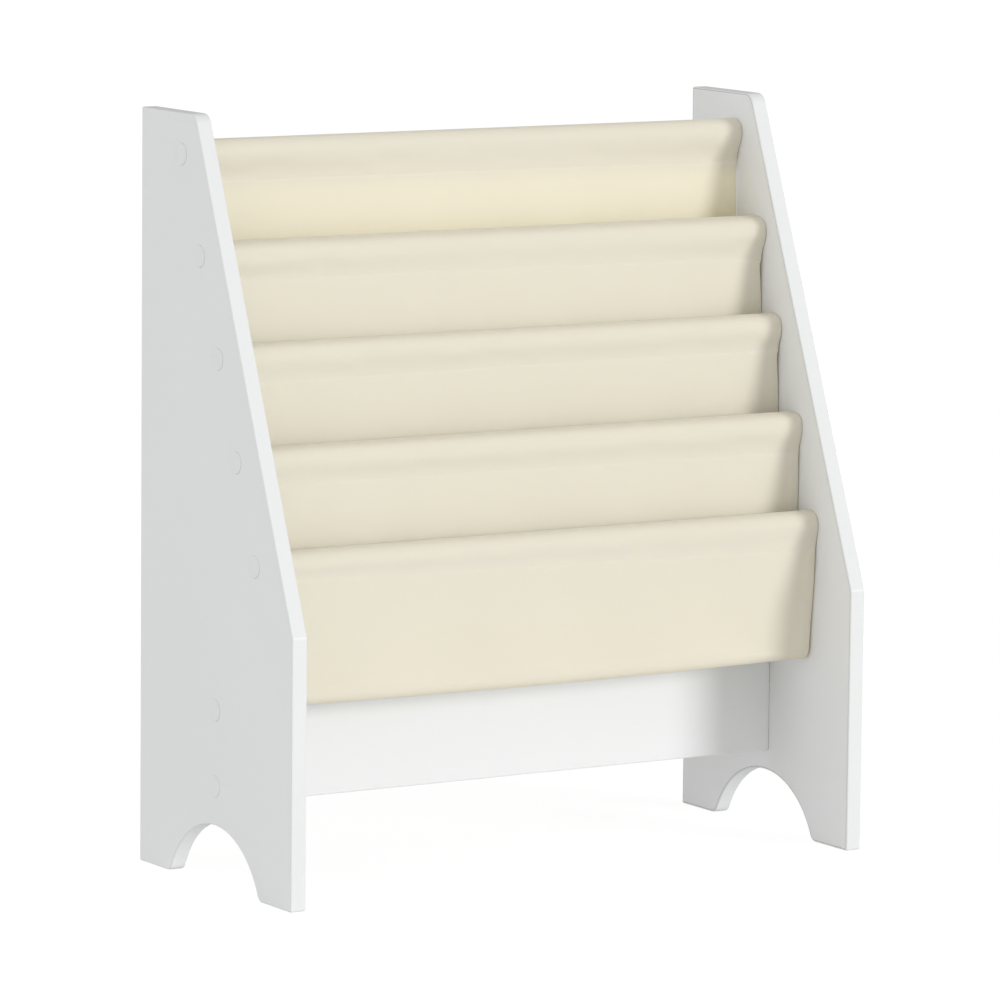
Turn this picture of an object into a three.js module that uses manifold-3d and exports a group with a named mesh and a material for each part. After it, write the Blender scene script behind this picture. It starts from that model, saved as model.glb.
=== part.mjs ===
// A children's sling bookshelf: two board side panels, a cross board, and five round rods that
// carry one long cloth, sewn into a sleeve round each rod and hanging as a book pocket between
// each pair. Screws run through the panels into the ends of the rods and of the cross board,
// and a round cover cap closes the recess over each screw head.
// Millimetres, +Z up, the front towards -Y, and the origin on the floor at the footprint's centre.
import * as THREE from "three";
import { mergeVertices } from "three/addons/utils/BufferGeometryUtils.js";
import Module from "manifold-3d";

const wasm = await Module();
wasm.setup();

// The shelf
const shelfWidth = 600;
const shelfDepth = 273;
const shelfHeight = 680;
const fitGap = 0.3; // between pieces that touch
const cutOverrun = 1; // how far a cutter runs past the face it cuts

// Side panels
const panelThickness = 15;
const topEdgeDepth = 97;
const shoulderHeight = 240; // where the sloping front edge starts
const topCornerRadius = 12;
const shoulderRadius = 8;
const footLength = 51;
const footCornerRadius = 9;
const archHeight = 54.5;
const arrisRadius = 1.2; // the rounding of every board edge

// Cross board
const crossBoardThickness = 15;
const crossBoardHeight = 100;
const crossBoardUnderside = 73.5; // above the floor
const crossBoardScrewInset = 16; // from the board's long edges

// Rods
const rodCount = 5;
const rodDiameter = 22;
const rodChamfer = 1;
const topRodDrop = 36.5; // below the panels' top edge
const bottomRodRise = 54; // above the shoulder
const topRodSetback = 39.5; // behind the sloping edge
const bottomRodSetback = 46;

// Screws and their cover caps
const screwHeadDiameter = 10;
const screwHeadHeight = 3.5;
const screwShankDiameter = 6;
const screwShankLength = 46;
const screwPointLength = 4;
const socketAcrossFlats = 4.4;
const socketDepth = 2.4;
const socketSides = 6;
const pilotSpare = 2; // how much deeper a pilot hole is than its screw
const capDiameter = 20;
const capThickness = 1.3;
const capCrown = 0.3;
const capRimChamfer = 0.4;
const capAboveFace = 0.6; // how far the rim stands off the panel's face
const capPegDiameter = 3.6;
const capPegLength = 1.8;

// Cloth
const clothThickness = 1.2;
const clothSideGap = 2; // from each panel
const sleeveEase = 0.3; // between a rod and its sleeve
const sleeveBulge = 1.6; // how far the slack in front of the rod stands off a straight line
const seamDrop = 23.5; // the foot of the sewn band below a rod's axis
const topSeamLead = 1; // the top rod's band in front of its axis
const seamLead = 8; // every other rod's
const seamBand = 3; // height of the two layers sewn together
const pocketDrop = 125; // the foot of a pocket's ends below its front rod's axis
const pocketDrawBack = 7; // how far a front wall leans back towards its foot
const pocketSag = 2; // how much lower the middle hangs than the ends
const pocketNarrowing = 1.5; // how far each side edge draws in at the foot
const foldDepth = 1.8;
const foldCount = 3.5;
const backFoldShare = 0.6; // the back wall's folds against the front wall's
const foldPhaseStep = 1.9; // radians from one pocket to the next

// Facets
const arrisSegments = 2;
const cornerSegments = 5;
const archSegments = 18;
const roundSegments = 20;
const screwSegments = 12;
const capSegments = 18;
const sleeveSegments = 12;
const slackSegments = 4;
const pocketWallSegments = 5;
const pocketFootSegments = 6;
const pocketStations = 16;

// Places that follow from the sizes
const innerWidth = shelfWidth - 2 * panelThickness;
const halfInner = innerWidth / 2;
const frontY = -shelfDepth / 2;
const backY = shelfDepth / 2;
const slope = (shelfDepth - topEdgeDepth) / (shelfHeight - shoulderHeight);
const slopingEdgeY = (z) => frontY + slope * (z - shoulderHeight);
const rodPitch = (shelfHeight - topRodDrop - shoulderHeight - bottomRodRise) / (rodCount - 1);
const rodRadius = rodDiameter / 2;
const capRecessDepth = capThickness - capAboveFace + fitGap;
const headSeatDepth = capRecessDepth + screwHeadHeight;
const pilotDiameter = screwShankDiameter + 2 * fitGap;
const pilotDepth = headSeatDepth + screwShankLength - panelThickness + pilotSpare;

// Rod 0 is the top one, at the back; the last is the bottom one, at the front.
const rods = Array.from({ length: rodCount }, (_, index) => {
  const share = index / (rodCount - 1);
  const z = shelfHeight - topRodDrop - index * rodPitch;
  const setback = topRodSetback + share * (bottomRodSetback - topRodSetback);
  return { y: slopingEdgeY(z) + setback, z, lead: index === 0 ? topSeamLead : seamLead };
});

const crossBoardScrewHeights = [
  crossBoardUnderside + crossBoardScrewInset,
  crossBoardUnderside + crossBoardHeight - crossBoardScrewInset,
];

const screwPlaces = [
  ...rods.map((rod, index) => ({ name: `rod_${index + 1}`, y: rod.y, z: rod.z })),
  { name: "board_lower", y: 0, z: crossBoardScrewHeights[0] },
  { name: "board_upper", y: 0, z: crossBoardScrewHeights[1] },
];

const boardWhite = { color: 0xf1f2f1, roughness: 0.45, metalness: 0 };
const capWhite = { color: 0xe6e7e6, roughness: 0.4, metalness: 0 };
const beech = { color: 0xd9b98a, roughness: 0.6, metalness: 0 };
const zincSteel = { color: 0xb9bcc0, roughness: 0.35, metalness: 1 };
const creamCloth = { color: 0xeee6cc, roughness: 0.9, metalness: 0 };

// Turns a section drawn in X-Y so that it stands in Y-Z, with its depth along X.
const acrossShelf = new THREE.Quaternion().setFromAxisAngle(
  new THREE.Vector3(1, 1, 1).normalize(),
  (2 * Math.PI) / 3,
);

function solidFrom(geometry) {
  const bare = geometry.clone();
  bare.deleteAttribute("normal");
  bare.deleteAttribute("uv");
  const merged = mergeVertices(bare);
  return new wasm.Manifold(
    new wasm.Mesh({
      numProp: 3,
      vertProperties: new Float32Array(merged.attributes.position.array),
      triVerts: new Uint32Array(merged.index.array),
    }),
  );
}

function geometryFrom(solid) {
  const mesh = solid.getMesh();
  const geometry = new THREE.BufferGeometry();
  geometry.setAttribute("position", new THREE.BufferAttribute(mesh.vertProperties, 3));
  geometry.setIndex(new THREE.BufferAttribute(mesh.triVerts, 1));
  const faceted = geometry.toNonIndexed();
  faceted.computeVertexNormals();
  return faceted;
}

function namedMesh(name, geometry, finish) {
  const mesh = new THREE.Mesh(geometry, new THREE.MeshStandardMaterial(finish));
  mesh.name = name;
  return mesh;
}

// Points along an arc, its first and last included.
function arcPoints(centre, radius, from, to, segments) {
  return Array.from({ length: segments + 1 }, (_, i) => {
    const angle = from + ((to - from) * i) / segments;
    return new THREE.Vector2(
      centre.x + radius * Math.cos(angle),
      centre.y + radius * Math.sin(angle),
    );
  });
}

// The arc that rounds the corner between the lines before-corner and corner-after.
function roundedCorner(before, corner, after, radius, segments) {
  const inward = before.clone().sub(corner).normalize();
  const outward = after.clone().sub(corner).normalize();
  const halfAngle = Math.acos(inward.dot(outward)) / 2;
  const bisector = inward.clone().add(outward).normalize();
  const centre = corner.clone().addScaledVector(bisector, radius / Math.sin(halfAngle));
  const tangentLength = radius / Math.tan(halfAngle);
  const start = corner.clone().addScaledVector(inward, tangentLength).sub(centre);
  const end = corner.clone().addScaledVector(outward, tangentLength).sub(centre);
  let turn = end.angle() - start.angle();
  if (turn > Math.PI) turn -= 2 * Math.PI;
  if (turn < -Math.PI) turn += 2 * Math.PI;
  return arcPoints(centre, radius, start.angle(), start.angle() + turn, segments);
}

// The underside of a side panel: a front foot, the arch, and a back foot, joined by tangent arcs.
function footAndArchPoints() {
  const footEnd = shelfDepth / 2 - footLength;
  const rise = archHeight - footCornerRadius;
  const archRadius =
    (footEnd * footEnd + rise * rise - footCornerRadius * footCornerRadius) / (2 * archHeight);
  const archCentre = new THREE.Vector2(0, archHeight - archRadius);
  const lean = Math.atan2(footCornerRadius - archCentre.y, footEnd);
  const frontFootCentre = new THREE.Vector2(-footEnd, footCornerRadius);
  const backFootCentre = new THREE.Vector2(footEnd, footCornerRadius);
  const down = -Math.PI / 2;
  const frontFoot = arcPoints(frontFootCentre, footCornerRadius, down, -lean, cornerSegments);
  const arch = arcPoints(archCentre, archRadius, Math.PI - lean, lean, archSegments);
  const backFoot = arcPoints(
    backFootCentre,
    footCornerRadius,
    Math.PI + lean,
    2 * Math.PI + down,
    cornerSegments,
  );
  return [...frontFoot, ...arch.slice(1), ...backFoot.slice(1)];
}

// The side panel's outline, with the shelf's Y drawn as x and its Z as y.
function panelOutline() {
  const backFoot = new THREE.Vector2(backY, 0);
  const backTop = new THREE.Vector2(backY, shelfHeight);
  const frontTop = new THREE.Vector2(slopingEdgeY(shelfHeight), shelfHeight);
  const shoulder = new THREE.Vector2(frontY, shoulderHeight);
  const frontFoot = new THREE.Vector2(frontY, 0);
  return new THREE.Shape([
    backFoot,
    backTop,
    ...roundedCorner(backTop, frontTop, shoulder, topCornerRadius, cornerSegments),
    ...roundedCorner(frontTop, shoulder, frontFoot, shoulderRadius, cornerSegments),
    frontFoot,
    ...footAndArchPoints(),
  ]);
}

// A board cut to an outline, with every edge rounded over. Its faces lie at 0 and thickness.
function boardGeometry(outline, thickness) {
  const geometry = new THREE.ExtrudeGeometry(outline, {
    depth: thickness - 2 * arrisRadius,
    bevelEnabled: true,
    bevelThickness: arrisRadius,
    bevelSize: arrisRadius,
    bevelOffset: -arrisRadius,
    bevelSegments: arrisSegments,
  });
  geometry.translate(0, 0, arrisRadius);
  return geometry;
}

// A cutter turned about Y, from depth 0 at the face down to each step's depth.
function steppedCutter(steps) {
  const profile = [new THREE.Vector2(0, cutOverrun)];
  let reached = cutOverrun;
  steps.forEach(({ diameter, depth }) => {
    profile.push(new THREE.Vector2(diameter / 2, reached));
    profile.push(new THREE.Vector2(diameter / 2, -depth));
    reached = -depth;
  });
  profile.push(new THREE.Vector2(0, reached));
  return new THREE.LatheGeometry(profile.reverse(), roundSegments);
}

// One side panel, with its outer face at depth 0 and its inner face at its thickness.
function panelGeometry() {
  const blank = solidFrom(boardGeometry(panelOutline(), panelThickness));
  const cutter = steppedCutter([
    { diameter: capDiameter + 2 * fitGap, depth: capRecessDepth },
    { diameter: screwHeadDiameter + 2 * fitGap, depth: headSeatDepth + fitGap },
    { diameter: screwShankDiameter + 2 * fitGap, depth: panelThickness + cutOverrun },
  ]);
  cutter.rotateX(-Math.PI / 2);
  const drilled = screwPlaces.reduce((panel, place) => {
    const hole = cutter.clone().translate(place.y, place.z, 0);
    return panel.subtract(solidFrom(hole));
  }, blank);
  return drilled;
}

function sidePanels() {
  const left = panelGeometry();
  const leftPanel = namedMesh("left_side_panel", geometryFrom(left), boardWhite);
  leftPanel.quaternion.copy(acrossShelf);
  leftPanel.position.x = -shelfWidth / 2;
  const mirrored = left.mirror([0, 0, 1]);
  const rightPanel = namedMesh("right_side_panel", geometryFrom(mirrored), boardWhite);
  rightPanel.quaternion.copy(acrossShelf);
  rightPanel.position.x = shelfWidth / 2;
  return [leftPanel, rightPanel];
}

function crossBoard() {
  const length = innerWidth - 2 * fitGap;
  const face = new THREE.Shape([
    new THREE.Vector2(-length / 2, 0),
    new THREE.Vector2(length / 2, 0),
    new THREE.Vector2(length / 2, crossBoardHeight),
    new THREE.Vector2(-length / 2, crossBoardHeight),
  ]);
  const blank = boardGeometry(face, crossBoardThickness);
  blank.rotateX(Math.PI / 2);
  blank.translate(0, crossBoardThickness / 2, 0);
  const pilot = steppedCutter([{ diameter: pilotDiameter, depth: pilotDepth }]);
  let board = solidFrom(blank);
  for (const side of [-1, 1]) {
    for (const height of crossBoardScrewHeights) {
      const hole = pilot.clone().rotateZ((-side * Math.PI) / 2);
      hole.translate((side * length) / 2, 0, height - crossBoardUnderside);
      board = board.subtract(solidFrom(hole));
    }
  }
  const mesh = namedMesh("cross_board", geometryFrom(board), boardWhite);
  mesh.position.z = crossBoardUnderside;
  return mesh;
}

// A rod turned about its own axis, with a pilot hole up each end.
function rodGeometry() {
  const half = halfInner - fitGap;
  const pilotRadius = pilotDiameter / 2;
  const end = [
    [0, half - pilotDepth],
    [pilotRadius, half - pilotDepth],
    [pilotRadius, half],
    [rodRadius - rodChamfer, half],
    [rodRadius, half - rodChamfer],
  ];
  const upper = end.map(([r, y]) => new THREE.Vector2(r, y));
  const lower = end.map(([r, y]) => new THREE.Vector2(r, -y));
  return new THREE.LatheGeometry([...lower, ...upper.reverse()], roundSegments);
}

function rodMeshes() {
  const geometry = rodGeometry();
  return rods.map((rod, index) => {
    const mesh = namedMesh(`rod_${index + 1}`, geometry, beech);
    mesh.rotation.z = -Math.PI / 2;
    mesh.position.set(0, rod.y, rod.z);
    return mesh;
  });
}

// A screw along Y, with the top of its head at 0, its point downwards and a hex socket.
function screwGeometry() {
  const shankRadius = screwShankDiameter / 2;
  const headRadius = screwHeadDiameter / 2;
  const tip = -screwHeadHeight - screwShankLength;
  const profile = [
    [0, tip],
    [shankRadius, tip + screwPointLength],
    [shankRadius, -screwHeadHeight],
    [headRadius, -screwHeadHeight],
    [headRadius, 0],
    [0, 0],
  ].map(([r, y]) => new THREE.Vector2(r, y));
  const body = new THREE.LatheGeometry(profile, screwSegments);
  const socketRadius = socketAcrossFlats / 2 / Math.cos(Math.PI / socketSides);
  const socketCut = socketDepth + cutOverrun;
  const socket = new THREE.CylinderGeometry(socketRadius, socketRadius, socketCut, socketSides);
  socket.translate(0, socketCut / 2 - socketDepth, 0);
  return geometryFrom(solidFrom(body).subtract(solidFrom(socket)));
}

// A cover cap along Y, with its rim at 0, its crown just above and its peg below.
function capGeometry() {
  const radius = capDiameter / 2;
  const pegRadius = capPegDiameter / 2;
  const profile = [
    [0, -capThickness - capPegLength],
    [pegRadius, -capThickness - capPegLength],
    [pegRadius, -capThickness],
    [radius, -capThickness],
    [radius, -capRimChamfer],
    [radius - capRimChamfer, 0],
    [0, capCrown],
  ].map(([r, y]) => new THREE.Vector2(r, y));
  return new THREE.LatheGeometry(profile, capSegments);
}

// Every screw and cap, on both sides of the shelf.
function fasteners() {
  const screw = screwGeometry();
  const cap = capGeometry();
  const sides = [
    { name: "left", direction: -1 },
    { name: "right", direction: 1 },
  ];
  return sides.flatMap(({ name, direction }) =>
    screwPlaces.flatMap((place) => {
      const turn = (-direction * Math.PI) / 2;
      const screwMesh = namedMesh(`screw_${name}_${place.name}`, screw, zincSteel);
      const capMesh = namedMesh(`cap_${name}_${place.name}`, cap, capWhite);
      screwMesh.rotation.z = turn;
      capMesh.rotation.z = turn;
      const headX = direction * (shelfWidth / 2 - capRecessDepth);
      const rimX = direction * (shelfWidth / 2 + capAboveFace);
      screwMesh.position.set(headX, place.y, place.z);
      capMesh.position.set(rimX, place.y, place.z);
      return [screwMesh, capMesh];
    }),
  );
}

// Half the loop of a sleeve, drawn at one distance from the rod's axis: from the top of the rod,
// round it to where the cloth leaves it on a tangent, and down to the sewn band. The slack bows
// the last stretch outwards. The back half has side 1 and the front half has side -1.
function sleeveSide(side, radius, bandTop, slack) {
  const leaving = bandTop.angle() + side * Math.acos(radius / bandTop.length());
  const lastAngle = side > 0 ? leaving - 2 * Math.PI : leaving;
  const centre = new THREE.Vector2(0, 0);
  const round = arcPoints(centre, radius, Math.PI / 2, lastAngle, sleeveSegments);
  const offRod = round[round.length - 1];
  const bow = offRod.clone().add(bandTop).divideScalar(2);
  bow.addScaledVector(offRod, (2 * slack) / radius);
  const hang = new THREE.QuadraticBezierCurve(offRod, bow, bandTop);
  return [...round, ...hang.getPoints(slackSegments).slice(1)];
}

// The section of the sleeve round a rod: a slack loop closed by the sewn band under it.
function sleeveShape(rod) {
  const inside = rodRadius + sleeveEase;
  const outside = inside + clothThickness;
  const bandTop = new THREE.Vector2(-rod.lead, seamBand - seamDrop);
  const frontBandTop = new THREE.Vector2(bandTop.x - clothThickness, bandTop.y);
  const backBandTop = new THREE.Vector2(bandTop.x + clothThickness, bandTop.y);
  const outerFront = sleeveSide(-1, outside, frontBandTop, sleeveBulge);
  const outerBack = sleeveSide(1, outside, backBandTop, 0);
  const innerFront = sleeveSide(-1, inside, bandTop, sleeveBulge);
  const innerBack = sleeveSide(1, inside, bandTop, 0);
  const shape = new THREE.Shape([
    ...outerFront,
    new THREE.Vector2(frontBandTop.x, -seamDrop),
    new THREE.Vector2(backBandTop.x, -seamDrop),
    ...outerBack.reverse().slice(0, -1),
  ]);
  shape.holes.push(new THREE.Path([...innerFront, ...innerBack.reverse().slice(1, -1)]));
  return shape;
}

function sleeveMeshes() {
  const length = innerWidth - 2 * clothSideGap;
  return rods.map((rod, index) => {
    const geometry = new THREE.ExtrudeGeometry(sleeveShape(rod), {
      depth: length,
      bevelEnabled: false,
    });
    const mesh = namedMesh(`sleeve_${index + 1}`, geometry, creamCloth);
    mesh.quaternion.copy(acrossShelf);
    mesh.position.set(-length / 2, rod.y, rod.z);
    return mesh;
  });
}

// The middle line of a pocket's cloth, from its back seam down, round its foot and up to its
// front seam, with the shelf's Y drawn as x and its Z as y. Each point carries the way the
// cloth faces, and how freely it hangs: 0 at the seams and 1 at the foot.
function pocketCentreline(backRod, frontRod) {
  const layerFromSeam = (clothThickness + fitGap) / 2;
  const backTop = new THREE.Vector2(
    backRod.y - backRod.lead - layerFromSeam,
    backRod.z - seamDrop - fitGap,
  );
  const frontTop = new THREE.Vector2(
    frontRod.y - frontRod.lead + layerFromSeam,
    frontRod.z - seamDrop - fitGap,
  );
  const footBack = backTop.x;
  const footFront = frontTop.x + pocketDrawBack;
  const footRadius = (footBack - footFront) / 2;
  const foot = frontRod.z - pocketDrop + clothThickness / 2;
  const footCentre = new THREE.Vector2((footBack + footFront) / 2, foot + footRadius);
  const straight = new THREE.LineCurve(backTop, new THREE.Vector2(footBack, footCentre.y));
  const leaning = new THREE.CubicBezierCurve(
    new THREE.Vector2(footFront, footCentre.y),
    new THREE.Vector2(footFront, footCentre.y + (frontTop.y - footCentre.y) / 3),
    new THREE.Vector2(frontTop.x, frontTop.y - (frontTop.y - footCentre.y) / 3),
    frontTop,
  );
  const points = [
    ...straight.getPoints(pocketWallSegments),
    ...arcPoints(footCentre, footRadius, 0, -Math.PI, pocketFootSegments).slice(1),
    ...leaning.getPoints(pocketWallSegments).slice(1),
  ];
  return points.map((point, i) => {
    const along = points[Math.min(i + 1, points.length - 1)]
      .clone()
      .sub(points[Math.max(i - 1, 0)])
      .normalize();
    const top = i <= points.length / 2 ? backTop.y : frontTop.y;
    const depthShare = Math.min(1, (top - point.y) / (top - foot));
    return {
      point,
      outward: new THREE.Vector2(along.y, -along.x),
      freedom: Math.sin((depthShare * Math.PI) / 2) ** 2,
      isFront: i > points.length / 2,
    };
  });
}

// Joins rings of points, each with as many points, into one closed body with flat ends. The first
// half of a ring runs along the sheet's outer side and the second half back along its inner side.
function sheetGeometry(rings) {
  const count = rings[0].length;
  const positions = rings.flat().flatMap((p) => [p.x, p.y, p.z]);
  const index = [];
  const at = (ring, i) => ring * count + (i % count);
  for (let ring = 0; ring < rings.length - 1; ring += 1) {
    for (let i = 0; i < count; i += 1) {
      index.push(at(ring, i), at(ring, i + 1), at(ring + 1, i + 1));
      index.push(at(ring, i), at(ring + 1, i + 1), at(ring + 1, i));
    }
  }
  const last = rings.length - 1;
  for (let i = 0; i < count / 2 - 1; i += 1) {
    const [a, b, c, d] = [i, i + 1, count - 2 - i, count - 1 - i];
    index.push(at(0, a), at(0, c), at(0, b), at(0, a), at(0, d), at(0, c));
    index.push(at(last, a), at(last, b), at(last, c), at(last, a), at(last, c), at(last, d));
  }
  const geometry = new THREE.BufferGeometry();
  geometry.setAttribute("position", new THREE.Float32BufferAttribute(positions, 3));
  geometry.setIndex(index);
  geometry.computeVertexNormals();
  return geometry;
}

// A pocket: the sheet on its centreline, with gentle upright folds, a sagging foot and side
// edges that draw in a little where the cloth hangs free.
function pocketGeometry(pocketIndex) {
  const line = pocketCentreline(rods[pocketIndex], rods[pocketIndex + 1]);
  const halfWidth = halfInner - clothSideGap;
  const phase = pocketIndex * foldPhaseStep;
  const rings = [];
  for (let station = 0; station <= pocketStations; station += 1) {
    const across = (2 * station) / pocketStations - 1;
    const wave = foldCount * Math.PI * across + phase;
    const side = (offset) =>
      line.map(({ point, outward, freedom, isFront }) => {
        const fold = isFront ? Math.sin(wave) : backFoldShare * Math.sin(wave + foldPhaseStep);
        const reach = halfWidth - pocketNarrowing * freedom;
        return new THREE.Vector3(
          across * reach,
          point.x + offset * outward.x + foldDepth * fold * freedom,
          point.y + offset * outward.y - pocketSag * (1 - across * across) * freedom,
        );
      });
    const outer = side(clothThickness / 2);
    const inner = side(-clothThickness / 2);
    rings.push([...outer, ...inner.reverse()]);
  }
  return sheetGeometry(rings);
}

function pocketMeshes() {
  return rods
    .slice(1)
    .map((_, index) => namedMesh(`pocket_${index + 1}`, pocketGeometry(index), creamCloth));
}

const frame = new THREE.Group();
frame.name = "frame";
frame.add(...sidePanels(), crossBoard(), ...rodMeshes(), ...fasteners());

const sling = new THREE.Group();
sling.name = "sling";
sling.add(...sleeveMeshes(), ...pocketMeshes());

const bookshelf = new THREE.Group();
bookshelf.name = "sling_bookshelf";
bookshelf.add(frame, sling);

export default bookshelf;
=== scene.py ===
"""The looks of a children's sling bookshelf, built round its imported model.

Two white boards stand as side panels, joined by a white cross board low down and by five round
rods. One long cream cloth is sewn into a sleeve round each rod and hangs as a book pocket between
each pair. Metres, +Z up, the front towards -Y, and the origin on the floor at the footprint's
centre.
"""

import logging
import math
from dataclasses import dataclass, field
from enum import Enum, IntEnum

import bpy
import numpy as np
from mathutils import Matrix, Vector
from mathutils.geometry import tessellate_polygon


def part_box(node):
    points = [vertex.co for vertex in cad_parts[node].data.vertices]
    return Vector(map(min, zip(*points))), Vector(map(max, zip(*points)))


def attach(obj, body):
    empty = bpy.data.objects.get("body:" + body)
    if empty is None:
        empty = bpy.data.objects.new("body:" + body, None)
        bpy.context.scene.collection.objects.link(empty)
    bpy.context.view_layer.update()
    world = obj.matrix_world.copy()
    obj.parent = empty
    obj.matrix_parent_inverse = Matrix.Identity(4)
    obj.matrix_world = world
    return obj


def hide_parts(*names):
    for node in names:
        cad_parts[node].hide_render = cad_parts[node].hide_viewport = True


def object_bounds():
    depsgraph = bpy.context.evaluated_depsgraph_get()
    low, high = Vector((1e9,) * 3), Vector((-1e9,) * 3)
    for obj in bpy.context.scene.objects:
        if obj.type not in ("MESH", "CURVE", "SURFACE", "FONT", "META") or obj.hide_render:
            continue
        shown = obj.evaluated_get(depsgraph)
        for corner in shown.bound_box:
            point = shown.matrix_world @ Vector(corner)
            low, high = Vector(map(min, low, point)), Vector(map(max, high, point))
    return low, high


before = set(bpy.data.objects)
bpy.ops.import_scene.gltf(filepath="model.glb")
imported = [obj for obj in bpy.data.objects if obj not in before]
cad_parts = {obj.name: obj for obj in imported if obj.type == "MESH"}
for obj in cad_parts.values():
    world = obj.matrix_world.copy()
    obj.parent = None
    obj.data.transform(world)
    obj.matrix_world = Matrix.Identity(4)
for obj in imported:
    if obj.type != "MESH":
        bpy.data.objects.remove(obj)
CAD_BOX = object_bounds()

LOG = logging.getLogger("sling_bookshelf")
BODY = "root"
MM = 0.001
SAME_POINT = 0.02 * MM

Array = np.ndarray
Material = bpy.types.Material
Piece = bpy.types.Object
Socket = bpy.types.NodeSocket
Point2 = tuple[float, float]
Point3 = tuple[float, float, float]
Colour = tuple[float, float, float, float]


class Slot(Enum):
    """Material slots named for the pieces made here."""

    BOARD = "board_white"
    CAP = "cap_white"
    CLOTH = "cloth_cream"


class Side(Enum):
    """The two ends of the shelf, with the way that each faces along X."""

    LEFT = -1
    RIGHT = 1

    @property
    def label(self) -> str:
        """The side's name, as nodes use it."""
        return self.name.lower()


class Wall(IntEnum):
    """What a stretch of the sling's cloth is."""

    SLEEVE = 0
    BACK = 1
    FOOT = 2
    FRONT = 3


def smooth_step(value: Array) -> Array:
    """An ease from 0 to 1, for places given as shares of the way between its two ends."""
    held = np.clip(value, 0.0, 1.0)
    return held * held * (3.0 - 2.0 * held)


def unit(vectors: Array) -> Array:
    """The same vectors, with a length of 1."""
    return vectors / np.linalg.norm(vectors, axis=-1, keepdims=True)


def running_length(steps: Array) -> Array:
    """How far along a line each of its points is, from the lengths between them."""
    return np.concatenate([[0.0], np.cumsum(steps)])


def heading(azimuth: float, elevation: float) -> Vector:
    """The way from the shelf's middle towards something that stands round it.

    Args:
        azimuth: How far right of the front it stands, in degrees.
        elevation: Its height above the horizon, in degrees.

    Returns:
        A vector with a length of 1.
    """
    turn, rise = math.radians(azimuth), math.radians(elevation)
    level = math.cos(rise)
    return Vector((math.sin(turn) * level, -math.cos(turn) * level, math.sin(rise)))


def arc(centre: Point2, radius: float, start: float, end: float, steps: int) -> list[Point2]:
    """Points along an arc, in equal steps from its first angle to its last one."""
    angles = [start + (end - start) * i / steps for i in range(steps + 1)]
    return [(centre[0] + radius * math.cos(a), centre[1] + radius * math.sin(a)) for a in angles]


def rounded_corner(
    before: Point2, corner: Point2, after: Point2, radius: float, steps: int
) -> list[Point2]:
    """The arc that rounds the corner between two straight edges.

    Args:
        before: A point on the edge that comes to the corner.
        corner: The sharp corner.
        after: A point on the edge that leaves it.
        radius: The rounding's radius.
        steps: How many equal steps the arc takes.

    Returns:
        The arc's points, from the first edge to the second.
    """
    tip = Vector(corner)
    inward = (Vector(before) - tip).normalized()
    outward = (Vector(after) - tip).normalized()
    half_angle = math.acos(max(-1.0, min(1.0, inward.dot(outward)))) / 2
    centre = tip + (inward + outward).normalized() * (radius / math.sin(half_angle))
    tangent = radius / math.tan(half_angle)
    start = tip + inward * tangent - centre
    end = tip + outward * tangent - centre
    first = math.atan2(start.y, start.x)
    turn = math.atan2(end.y, end.x) - first
    turn = (turn + math.pi) % (2 * math.pi) - math.pi
    return arc((centre.x, centre.y), radius, first, first + turn, steps)


def rounded_outline(corners: list[Point2], roundings: list[tuple[float, int]]) -> list[Point2]:
    """A closed outline with rounded corners.

    Args:
        corners: Its sharp corners, in order.
        roundings: The radius and the steps of each corner's rounding, from the first one on.

    Returns:
        The points of the corners that have a rounding.
    """
    outline: list[Point2] = []
    for i, (radius, steps) in enumerate(roundings):
        after = corners[(i + 1) % len(corners)]
        outline += rounded_corner(corners[i - 1], corners[i], after, radius, steps)
    return outline


def circle(x: float, centre: Point2, radius: float, facets: int) -> list[Point3]:
    """Points round a circle that lies square to X."""
    return [(x, y, z) for y, z in arc(centre, radius, 0.0, 2.0 * math.pi, facets)[:-1]]


def put_in_scene(name: str, data: bpy.types.ID) -> Piece:
    """Makes an object from its data and links it into the scene."""
    made = bpy.data.objects.new(name, data)
    bpy.context.scene.collection.objects.link(made)
    return made


@dataclass
class Ripple:
    """A smooth, repeatable waviness over a surface, made of a few crossed waves.

    Attributes:
        seed: What the waves' places are drawn from.
        shortest: The shortest wave's length.
        longest: The longest wave's length.
        slant: How far, at most, a wave's crest leans from upright, as a slope.
        waves: How many waves are added up.
    """

    seed: int
    shortest: float
    longest: float
    slant: float = 0.0
    waves: int = 7

    def at(self, across: Array, along: Array | float = 0.0) -> Array:
        """The waviness at some places.

        Args:
            across: Each place's distance along the shelf's width.
            along: Its distance down the cloth.

        Returns:
            Values of about -1 to 1.
        """
        draw = np.random.default_rng(self.seed)
        total = np.zeros(np.broadcast(across, along).shape)
        for _ in range(self.waves):
            length = self.shortest * (self.longest / self.shortest) ** draw.random()
            lean = self.slant * draw.uniform(-1.0, 1.0)
            phase = draw.uniform(0.0, 2.0 * math.pi)
            total = total + np.sin(2.0 * math.pi * (across + lean * along) / length + phase)
        return total / math.sqrt(2.0 * self.waves)


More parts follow.
